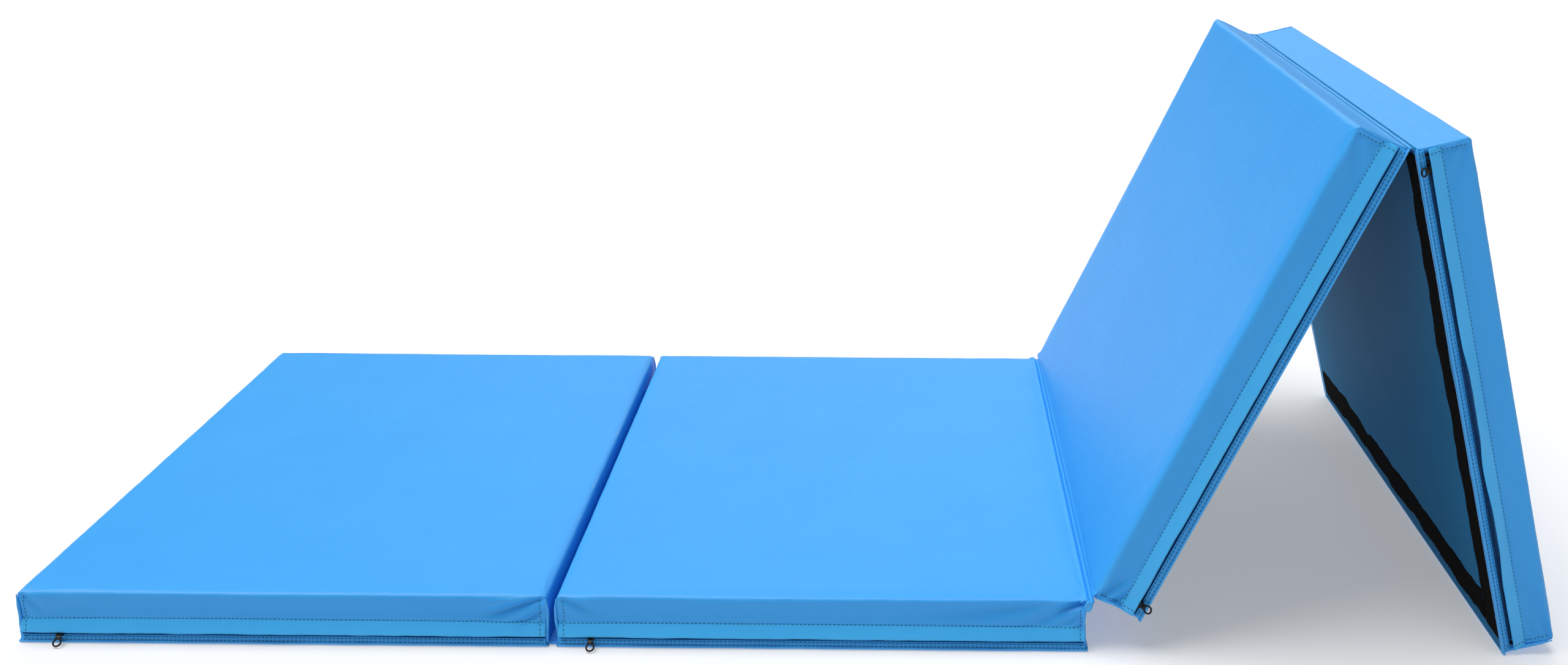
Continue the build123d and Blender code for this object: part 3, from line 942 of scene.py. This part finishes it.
def front_inward(panel, u, z):
    """How far the front wall is drawn in at a point by its folds, its stitches and its slack."""
    depth = FOLD_STRENGTH * sum(fold_depth(fold, u, z) for fold in FRONT_FOLDS[panel])
    depth += SEAM_DRAW * smooth((THICKNESS - z) / (THICKNESS - SEAM_HEIGHT))
    depth += ripple(WALL_WAVES, u, z, panel) + ripple(WALL_WRINKLES, u, z, panel)
    depth += SEAM_DENT * bell(z - SEAM_HEIGHT, SEAM_DENT_WIDTH)
    for seam in (CORNER_SEAM_INSET, LENGTH - CORNER_SEAM_INSET):
        depth += CORNER_DENT * bell(u - seam, CORNER_DENT_WIDTH)
    return depth


def end_drawn(panel, at_right, y, z):
    """How far an end wall is drawn in; less than 0 where it swells out, between panels 1 and 2."""
    if (panel, at_right) in ((2, True), (3, False)):
        return END_DRAW * exp(-(y + HALF_WIDTH) / END_DRAW_REACH) * sin(pi * z / THICKNESS)
    if (panel, at_right) in ((1, True), (2, False)) and z < THICKNESS:
        return -END_BULGE * sin(pi * (max(z, 0.0) / THICKNESS) ** BULGE_POWER)
    return 0.0


def creased(panel, point):
    """A point of the stuffed cover with its folds, puckers and slack."""
    u, y, z = point
    front = smooth((SIDE_REACH - HALF_WIDTH - y) / SIDE_RAMP) * smooth((THICKNESS - z) / TOP_RAMP)
    rear = smooth((SIDE_REACH - HALF_WIDTH + y) / SIDE_RAMP)
    top = smooth((z - (THICKNESS - TOP_DEPTH)) / TOP_DEPTH)
    low = smooth((z - COVER_BOTTOM) / FOOT_RAMP)
    if z > COVER_LIP - LIP_MARGIN:
        y += front * front_inward(panel, u, z)
    y -= rear * low * (ripple(REAR_WAVES, u, z, panel) + ripple(REAR_WRINKLES, u, z, panel))
    for end, side in ((0.0, 1), (LENGTH, -1)):
        near = smooth((END_REACH - abs(u - end)) / END_RAMP)
        slack = END_SLACK + ripple(END_WAVES, y, z, panel) + ripple(END_WRINKLES, y, z, panel)
        u += side * near * low * (slack + end_drawn(panel, side < 0, y, z))
    to_edge = min(u, LENGTH - u, HALF_WIDTH - abs(y))
    pucker = exp(-to_edge / PUCKER_REACH) * ripple(EDGE_PUCKERS, u, y, panel)
    z += top * (ripple(TOP_WAVES, u, y, panel) + pucker)
    return Vector((u, y, z))


def cover_wear_and_highlight(point):
    """Rubbed paler along the upper edges and the corners; this also paints their highlight."""
    u, y, z = point
    gaps = sorted(max(gap, 0) for gap in (min(u, LENGTH - u), HALF_WIDTH - abs(y), THICKNESS - z))
    return EDGE_WEAR_AND_HIGHLIGHT * bell(gaps[0] + gaps[1], WEAR_AND_HIGHLIGHT_REACH)


def make_covers():
    """The four stuffed covers; one simulation serves them all, and each has its own folds."""
    covers = {}
    flat, sewn = cover_draft(EDGE_RADIUS, EDGE_RADIUS)
    moves = stuffed(flat, sewn)
    for panel in PANELS:
        draft, _ = cover_draft(*END_RADII[panel])
        swollen = Shape([p + move for p, move in zip(draft.points, moves)], draft.faces)
        fine = subdivided(swollen)
        covers[panel] = Shape([creased(panel, p) for p in fine.points], fine.faces)
        piece = panel_piece("stuffed_cover", panel, covers[panel], VINYL, "cover", cover_wear_and_highlight)
    return covers


# ======== Front wall: placket, skirt, hem and corner beads ========
def placket_gape(panel, u):
    """How far the placket's free edge stands away from the wall, beyond its usual flare."""
    return sum(amount * plateau(u, start, end, GAPE_RAMP) for start, end, amount in PLACKET_GAPES[panel])


def placket_profile(panel, u):
    """The placket's outer line, from under its stitches down to its free edge."""
    inner_share = smooth(min(u, LENGTH - u) / PLACKET_END_RAMP)
    gape = placket_gape(panel, u)
    flare = PLACKET_FLARE * (PLACKET_END_FLARE + (1 - PLACKET_END_FLARE) * inner_share) + gape
    flare += ripple(FLARE_WAVES, u, 0, panel)
    bottom = PLACKET_BOTTOM + GAPE_LIFT * gape
    bottom += ripple(PLACKET_EDGE_WAVES, u, 0, panel) + ripple(PLACKET_EDGE_WRINKLES, u, 0, panel)
    line = []
    for t in between(0.0, 1.0, PLACKET_STEPS):
        z = PLACKET_TOP + (bottom - PLACKET_TOP) * t
        tuck = PLACKET_TUCK * smooth((z - (SEAM_HEIGHT - TUCK_BELOW_SEAM)) / TUCK_HEIGHT)
        belly = PLACKET_BELLY * sin(pi * t) * (0.5 + ripple(BELLY_WAVES, u, 0, panel))
        wrinkle = t * ripple(PLACKET_WRINKLES, u, z, panel)
        wall = front_inward(panel, u, SEAM_HEIGHT) * (1 - t)
        y = FRONT + wall + tuck - PLACKET_PROUD - flare * t ** PLACKET_CURL - belly * t - wrinkle
        line.append((u, y, z))
    return line


def skirt_profile(panel, u):
    """The skirt's outer line, from behind the placket down to the hem and back under the mat."""
    line = []
    for t in between(0.0, 1.0, 5):
        z = SKIRT_TOP + ripple(SKIRT_EDGE_WAVES, u, 0, panel) * (1 - t) + (SKIRT_BOTTOM - SKIRT_TOP) * t
        y = FRONT - SKIRT_PROUD - SKIRT_SLOPE * t - ripple(SKIRT_WAVES, u, z, panel)
        line.append((u, y, z))
    return line + [(u, FRONT - SKIRT_PROUD - SKIRT_SLOPE + back, z) for back, z in SKIRT_TURN]


def hem_path(panel):
    """The seam allowance round the underside: proud along the zipper side, tucked in beside a fold."""
    left = HEM_TUCKED if panel in (2, 4) else HEM_PROUD
    right = HEM_TUCKED if panel in (1, 3) else HEM_PROUD
    front, rear = FRONT - HEM_OUT, HALF_WIDTH + HEM_PROUD
    sides = between(front + HEM_TURN, rear - HEM_TURN / 2, 60)
    along_front = between(HEM_INSET, LENGTH - HEM_INSET, 90)
    along_rear = between(LENGTH - HEM_TURN, HEM_TURN, 60)
    path = [(u, front - ripple(HEM_WAVES, u, 0, panel)) for u in along_front]
    path += [(LENGTH + right, y) for y in sides]
    path += [(u, rear + ripple(REAR_BEAD_WAVES, u, 9, panel)) for u in along_rear]
    path += [(-left, y) for y in reversed(sides)]
    return [(u, y, HEM_HEIGHT) for u, y in path]


def corner_bead(panel, u, y, wobble):
    """The folded seam allowance up one corner, tapered to the dog ear at its top."""
    path = []
    for z in between(*CORNER_BEAD_SPAN, 22):
        drift = wobble * ripple(BEAD_WOBBLE, z, u, panel)
        inward = CORNER_BEAD_BOW * sin(pi * z / THICKNESS) + end_drawn(panel, u > LENGTH / 2, y, z)
        path.append((u + drift + inward * (1 if u < LENGTH / 2 else -1), y + CORNER_BEAD_SKEW * drift, z))
    taper_start = len(path) - 1 - BEAD_TAPER_POINTS
    sizes = [1 - BEAD_TAPER * smooth((i - taper_start) / BEAD_TAPER_POINTS) for i in range(len(path))]
    return tube(path, lambda i: CORNER_BEAD_RADIUS * sizes[i])


def make_front_walls():
    """Plackets, skirts, hems and corner beads. Returns each panel's placket and skirt shapes."""
    fronts = {}
    lengths = between(END_MARGIN, LENGTH - END_MARGIN, FRONT_STEPS)
    for panel in PANELS:
        placket = sheet_along(lengths, lambda u: placket_profile(panel, u), PLACKET_THICKNESS, INWARD)
        # the placket gets the lighter copy of the vinyl: painted light
        piece = panel_piece("placket_flap", panel, placket, VINYL_LIT, "zip_placket")
        skirt = sheet_along(lengths, lambda u: skirt_profile(panel, u), SKIRT_THICKNESS, SKIRT_INNER)
        piece = panel_piece("skirt_strip", panel, skirt, VINYL, "zip_skirt")
        beads = [tube(hem_path(panel), lambda i: HEM_RADIUS, looped=True)]
        for u in (CORNER_BEAD_INSET, LENGTH - CORNER_BEAD_INSET):
            beads += [corner_bead(panel, u, y, wobble) for y, wobble in CORNER_BEAD_LINES]
        panel_piece("seam_beads", panel, joined(beads), VINYL, edge_wear=lambda p: HEM_WEAR_AND_HIGHLIGHT)
        fronts[panel] = (placket, skirt)
    return fronts


# ======== Stitches ========
def stitch(centre, along, out):
    """One stitch: a short thread that dips into the vinyl at both ends."""
    side = along.cross(out).normalized()
    points = []
    for share, lift, size in STITCH_RINGS:
        middle = centre + along * share * STITCH_LENGTH + out * lift * STITCH_RADIUS
        for k in range(STITCH_SIDES):
            angle = 2 * pi * k / STITCH_SIDES
            offset = side * cos(angle) * STITCH_WIDTH + out * sin(angle) * STITCH_HEIGHT
            points.append(middle + offset * STITCH_RADIUS * size)
    return lofted(points, STITCH_SIDES)


def stitch_row(surface, line, towards):
    """Stitches along a line, laid on the first surface met in the direction towards."""
    shapes = []
    line = [Vector(p) for p in line]
    for here, there in zip(line, line[1:]):
        middle = (here + there) / 2
        hit, out, _, _ = surface.ray_cast(middle - towards * STITCH_SEARCH, towards, 2 * STITCH_SEARCH)
        if hit is None:
            continue
        if out.dot(towards) > 0:
            out = -out
        along = (there - here).normalized()
        along = (along - out * along.dot(out)).normalized()
        shapes.append(stitch(hit, along, out))
    return shapes


def make_stitches(covers, fronts):
    """Every row of stitches of each panel, as one piece."""
    start, end = END_MARGIN + 1, LENGTH - END_MARGIN - 1
    steps = between(start, end, round((LENGTH - 2 * END_MARGIN) / STITCH_PITCH))
    low, high = CORNER_SEAM_SPAN
    rise = between(low, high, round((high - low) / STITCH_PITCH))
    for panel in PANELS:
        whole = joined([covers[panel], *fronts[panel]])
        surface = BVHTree.FromPolygons(whole.points, whole.faces)
        rows = [[(u, FRONT, SEAM_HEIGHT + SEAM_BOWS[panel] * sin(pi * u / LENGTH)) for u in steps]]
        rows += [[(u, FRONT, z + ripple(SEAM_WAVES, u, z, panel)) for u in steps] for z in SKIRT_SEAMS]
        for u in (CORNER_SEAM_INSET, LENGTH - CORNER_SEAM_INSET):
            rows.append([(u + ripple(CORNER_SEAM_WAVES, z, u, panel), FRONT, z) for z in rise])
        shapes = []
        for row in rows:
            shapes += stitch_row(surface, row, INWARD)
        shapes += stitch_row(surface, [(u, HALF_WIDTH, REAR_SEAM) for u in steps], -INWARD)
        panel_piece("stitching", panel, joined(shapes), THREAD)


# ======== Underside ========
def underside_height(panel, u, y):
    """The underside sheet's outer face: almost flat, slightly puckered beside its seams."""
    to_edge = max(min(u, LENGTH - u, HALF_WIDTH - abs(y)), 0)
    pucker = exp(-to_edge / BASE_PUCKER_REACH) * ripple(BASE_PUCKERS, u, y, panel)
    return BASE_OUTER + ripple(BASE_WAVES, u, y, panel) + pucker


def rear_hem_line(panel, u):
    """The rear seam allowance across its width, from the underside up over the rear edge."""
    line = []
    for t in between(0.0, 1.0, 6):
        y = HALF_WIDTH - REAR_HEM_WIDTH + (REAR_HEM_WIDTH + REAR_HEM_OVER) * t
        z = REAR_HEM_HEIGHT + ripple(REAR_HEM_BUMPS, u, t, panel) + REAR_HEM_RISE * smooth((t - 0.45) / 0.6)
        line.append((u, y + ripple(REAR_HEM_WAVES, u, 0, panel), z))
    return line


def make_undersides():
    """The underside sheets, each with the rear seam allowance folded over it."""
    along = between(-BASE_OVER, LENGTH + BASE_OVER, 76)
    across = between(FRONT - BASE_FRONT, HALF_WIDTH, 102)
    hem_steps = between(REAR_HEM_INSET, LENGTH - REAR_HEM_INSET, 110)
    for panel in PANELS:
        outer = [[Vector((u, y, underside_height(panel, u, y))) for y in across] for u in along]
        inner = [[Vector((u, y, BASE_INNER)) for y in across] for u in along]
        # the underside sheet's dark colour is partly painted shade
        piece = panel_piece("underside", panel, closed_sheet(outer, inner), VINYL_DULL_SHADED, "base_sheet")
        hem = sheet_along(hem_steps, lambda u: rear_hem_line(panel, u), REAR_HEM_THICKNESS, UP)
        # the rear hem gets the lighter copy of the vinyl: painted light
        piece = panel_piece("rear_hem", panel, hem, VINYL_LIT)


def strip_shape(low, high, along_x, seed):
    """A hook or loop strip with a rough pile and edges that wander where the cloth below is loose."""
    long_axis, wide_axis = (0, 1) if along_x else (1, 0)
    length = high[long_axis] - low[long_axis]
    width = high[wide_axis] - low[wide_axis]
    outer, inner = [], []
    for s in between(low[long_axis], high[long_axis], round(length / STRIP_STEP)):
        narrow = ripple(STRIP_NARROWING, s, 0, seed) + ripple(STRIP_FRAY, s, 0, seed) - STRIP_SPREAD
        edge = low[wide_axis] + ripple(STRIP_SWAY, s, 0, seed) + narrow
        outer_row, inner_row = [], []
        for t in between(0.0, 1.0, round(width / STRIP_STEP)):
            w = edge + (width - 2 * narrow) * t + ripple(STRIP_EDGES, s, STRIP_EDGE_SHIFT * t, seed)
            pile = ripple(STRIP_TUFTS, s, w, seed) + ripple(STRIP_WAVES, s, w, seed)
            rim = STRIP_RIM * (1 - smooth(min(t, 1 - t) / STRIP_RIM_SHARE))
            u, y = (s, w) if along_x else (w, s)
            outer_row.append(Vector((u, y, STRIP_FACE + pile * STRIP_PILE + rim)))
            inner_row.append(Vector((u, y, STRIP_THICKNESS)))
        outer.append(outer_row)
        inner.append(inner_row)
    return closed_sheet(outer, inner)


def panel_box(node, panel):
    """A node's box in its panel's frame, in millimetres."""
    back = PLACES[panel].inverted()
    points = [(back @ v.co) / MM for v in frame["nodes"][node].data.vertices]
    low = [min(p[axis] for p in points) for axis in range(3)]
    high = [max(p[axis] for p in points) for axis in range(3)]
    return low, high


def make_strips():
    """The hook strips under panel 4 and the loop strip under panel 1."""
    for node, panel, along_x in (
        ("hook_strip_side", 4, True),
        ("hook_strip_end", 4, False),
        ("loop_strip_end", 1, False),
    ):
        low, high = panel_box(node, panel)
        shape = strip_shape(low, high, along_x, seed=len(node) + panel)
        piece = make_object(node.replace("strip", "tape"), shape, PLACES[panel], HOOKS)
        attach(piece, f"panel_{panel}")
        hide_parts(node)


# ======== Zippers ========
def tape_line(panel, u, low, high):
    """The face of one woven tape across its width, from low to high."""
    return [(u, TAPE_FACE + ripple(TAPE_WAVES, u, z, panel), z) for z in between(low, high, 6)]


def tooth(u, side):
    """One coil of the chain: a staple that wraps its tape's edge, with its head over the middle."""
    middle = TAPE_FACE + TAPE_THICKNESS / 2
    half = COIL_THICKNESS / 2 - TOOTH_INSET
    reach = COIL_WIDTH / 2 - TOOTH_INSET_ACROSS
    path = []
    for across, depth in TOOTH_PATH:
        path.append((u + TOOTH_SLANT * depth, middle + depth * half, ZIP_HEIGHT + side * across * reach))
    return tube(path, lambda i: COIL_WIRE, sides=5)


def make_zippers():
    """Tapes and chain of each zipper; the stops and sliders keep their CAD shape."""
    spans = (
        (ZIP_HEIGHT + COIL_WIDTH / 2 - TAPE_UNDER, TAPE_TOP),
        (TAPE_BOTTOM, ZIP_HEIGHT - COIL_WIDTH / 2 + TAPE_UNDER),
    )
    lengths = between(ZIP_END, LENGTH - ZIP_END, 150)
    start = ZIP_END + STOP_LENGTH + TOOTH_AFTER_STOP
    for panel in PANELS:
        tapes = [
            sheet_along(lengths, lambda u: tape_line(panel, u, *span), TAPE_THICKNESS, INWARD)
            for span in spans
        ]
        piece = panel_piece("zip_weave", panel, joined(tapes), TAPE, "zip_tapes")
        teeth = []
        for k in range(int((LENGTH - 2 * start) / TOOTH_PITCH)):
            u = start + k * TOOTH_PITCH
            teeth += [tooth(u, 1), tooth(u + TOOTH_PITCH / 2, -1)]
        panel_piece("zip_chain", panel, joined(teeth), COIL, "zip_coils")


def circle(radius, count):
    """The angles and points of a circle, as (cosine, sine) times radius."""
    return [(cos(a) * radius, sin(a) * radius) for a in between(0, 2 * pi, count)[:-1]]


def tab_shape():
    """The flat tab between the eye and the ring: waisted, with softened edges."""
    points = [
        Vector((across * half_width, depth * half_thick, z))
        for z, half_width, half_thick in PULL_TAB_ROWS
        for across, depth in PULL_TAB_OUTLINE
    ]
    return lofted(points, len(PULL_TAB_OUTLINE))


def pull_shape():
    """A pull that hangs straight down from its pin: eye, tab and ring."""
    ring = [(x, 0, z - PULL_RING_DISTANCE) for x, z in circle(PULL_RING_RADIUS, 40)]
    shapes = [tube(ring, lambda i: PULL_RING_WIRE, sides=10, looped=True), tab_shape()]
    for x in PULL_EYE_TURNS:
        eye = [(x, y, z) for y, z in circle(PULL_EYE_RADIUS, 16)]
        shapes.append(tube(eye, lambda i: PULL_EYE_WIRE, sides=6, looped=True))
    return joined(shapes)


def make_pulls():
    """The black pulls, each turned to its slant on its slider's bail."""
    hanging = pull_shape()
    for panel in PANELS:
        turn = Matrix.Translation((SLIDER_PLACES[panel], *PULL_PIVOT))
        turn = turn @ Matrix.Rotation(radians(-PULL_SLANTS[panel]), 4, "X")
        pull = Shape([turn @ p for p in hanging.points], hanging.faces)
        piece = panel_piece("ring_pull", panel, pull, ENAMEL, "zip_pull", body="zip_pull")
        piece.data.set_sharp_from_angle(angle=radians(PULL_SHARP_ANGLE))


# ======== Folds between panels ========
def bent(point, centre, angle, span):
    """A point of the flat cloth turned about the fold by its share of the fold's angle."""
    low, high = span
    share = smooth((point.x - low) / (high - low))
    return centre + Matrix.Rotation(angle * share, 4, "Y") @ (point - centre)


def fold_cloth(left, line, inner_side):
    """The cloth over the fold right of a panel: line(y, gap) draws it flat, then it is bent."""
    pair = f"{left}{left + 1}"
    pivot = PLACES[left].inverted() @ Vector(JOINTS[f"fold_{pair}"]["pos_m"])
    centre = Vector((pivot.x, 0, pivot.z)) / MM
    angle = (PLACES[left].inverted() @ PLACES[left + 1]).to_euler("XYZ").y
    gap = 2 * pivot.x / MM - 2 * LENGTH
    span = (LENGTH - FOLD_INSET, LENGTH + gap + FOLD_INSET)
    outer, inner = [], []
    for y in between(FRONT + FOLD_INSET, HALF_WIDTH - FOLD_INSET, 150):
        row = [Vector((u, y, z)) for u, z in line(y, gap)]
        outer.append([bent(p, centre, angle, span) for p in row])
        inner.append([bent(p + inner_side * FOLD_THICKNESS, centre, angle, span) for p in row])
    piece = make_object(f"fold_cloth_{pair}", closed_sheet(outer, inner), PLACES[left], VINYL)
    height = line(0, gap)[0][1]
    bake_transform(piece)
    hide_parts(f"fold_strip_{pair}")


def low_fold_line(y, gap, valley):
    """The cloth from under one panel to under the next, dipping in the middle."""
    points = []
    for t in between(0.0, 1.0, 12):
        u = LENGTH - FOLD_TUCK + (gap + 2 * FOLD_TUCK) * t
        dip = valley * sin(pi * t) ** VALLEY_POWER
        points.append((u, FOLD_HEIGHT - dip + ripple(LOW_FOLD_WAVES, y, t, gap)))
    return points


def top_fold_line(y, gap):
    """The cloth from the top of one panel to the top of the next, with a crease in the middle."""
    points = []
    for t in between(-1.0, 1.0, 28):
        u = LENGTH + gap / 2 + t * (TOP_FOLD_REACH + gap / 2)
        dip = CREASE_DEPTH * bell(t * TOP_FOLD_REACH, CREASE_WIDTH)
        dip += TOP_FOLD_DROP * smooth((abs(t) - TOP_FOLD_FLAT) / (1 - TOP_FOLD_FLAT))
        points.append((u + ripple(TOP_FOLD_WAVES, y, 0) * (1 - abs(t)), THICKNESS + TOP_FOLD_PROUD - dip))
    return points


def make_folds():
    """The three sewn folds: 1-2 and 3-4 along the underside, 2-3 along the top."""
    for left, valley in FOLD_VALLEYS.items():
        fold_cloth(left, lambda y, gap: low_fold_line(y, gap, valley), UP)
    fold_cloth(2, top_fold_line, -UP)


def make_gather():
    """The knot of cloth gathered at the zipper end of the fold between panels 2 and 3."""
    rings, sides = 12, 20
    points = []
    for ring in range(rings + 1):
        polar = pi * ring / rings
        for k in range(sides):
            angle = 2 * pi * k / sides
            lobes = 1 + GATHER_LOBE_DEPTH * sin(GATHER_LOBES * angle + GATHER_TWIST * polar)
            lobes += ripple(GATHER_WRINKLES, ring * 3.0, k * 2.0)
            radius = 0.0 if ring in (0, rings) else sin(polar) * lobes
            direction = Vector((radius * cos(angle), radius * sin(angle), cos(polar)))
            points.append(GATHER_CENTRE + direction * GATHER_SIZE)
    build = opened(Shape(points, ring_faces(rings + 1, sides)))
    bmesh.ops.remove_doubles(build, verts=build.verts, dist=0.01)
    panel_piece("gathered_corner", 2, closed(build), VINYL, edge_wear=lambda p: GATHER_WEAR)


# ======== CAD nodes that stay ========
def dress_cad_nodes():
    """Foam cores, zipper stops and sliders keep their shape and get a detailed material."""
    for name, node in frame["nodes"].items():
        if name.startswith("foam_core"):
            dress(node, FOAM)
        elif name.startswith(("zip_slider", "zip_stops")):
            dress(node, ENAMEL_CAD)


def dress(node, material):
    """Gives a CAD node one material."""
    node.data.materials.clear()
    node.data.materials.append(material)


# ======== Stage, light and camera ========
def make_camera():
    """The camera at the photograph's place, looking slightly down along +Y."""
    yaw, pitch, roll = radians(CAMERA_YAW), radians(CAMERA_PITCH), radians(CAMERA_ROLL)
    ahead = Vector((sin(yaw) * cos(pitch), cos(yaw) * cos(pitch), -sin(pitch)))
    right = Vector((cos(yaw), -sin(yaw), 0))
    up = right.cross(ahead)
    rolled_right = cos(roll) * right + sin(roll) * up
    rolled_up = -sin(roll) * right + cos(roll) * up
    data = bpy.data.cameras.new("camera")
    data.sensor_width = SENSOR_WIDTH
    data.lens = CAMERA_LENS
    data.shift_x, data.shift_y = CAMERA_SHIFT
    camera = linked("camera", data)
    turn = Matrix((rolled_right, rolled_up, -ahead)).transposed().to_4x4()
    camera.matrix_world = Matrix.Translation(CAMERA_PLACE) @ turn
    bpy.context.scene.camera = camera


def make_floor():
    """A wide pale floor, just below the mat."""
    steps = between(-FLOOR_REACH, FLOOR_REACH, FLOOR_STEPS)
    points = [(x, y, -FLOOR_DROP) for x in steps for y in steps]
    mesh = bpy.data.meshes.new("studio_floor")
    mesh.from_pydata(points, [], grid_faces(len(steps), len(steps)))
    mesh.materials.append(floor_material())
    linked("studio_floor", mesh)


def soft_light(name, direction, strength, softness):
    """A distant light as wide as a studio soft box."""
    data = bpy.data.lights.new(name, "SUN")
    data.energy = strength
    data.angle = radians(softness)
    light = linked(name, data)
    light.rotation_euler = Vector(direction).to_track_quat("Z", "Y").to_euler()


def make_lights():
    """A very soft light from above, the glow of a white backdrop, and a dim white room."""
    world = bpy.data.worlds.new("room")
    world.use_nodes = True
    background = world.node_tree.nodes["Background"]
    background.inputs["Color"].default_value = WHITE
    background.inputs["Strength"].default_value = ROOM_STRENGTH
    bpy.context.scene.world = world
    soft_light("key", KEY_FROM, KEY_STRENGTH, KEY_SOFTNESS)
    soft_light("backdrop_glow", BACKDROP_FROM, BACKDROP_STRENGTH, BACKDROP_SOFTNESS)
    bpy.context.scene.view_settings.view_transform = "Standard"


make_camera()
make_floor()
make_lights()
dress_cad_nodes()
cover_shapes = make_covers()
front_shapes = make_front_walls()
make_stitches(cover_shapes, front_shapes)
make_undersides()
make_strips()
make_zippers()
make_pulls()
make_folds()
make_gather()
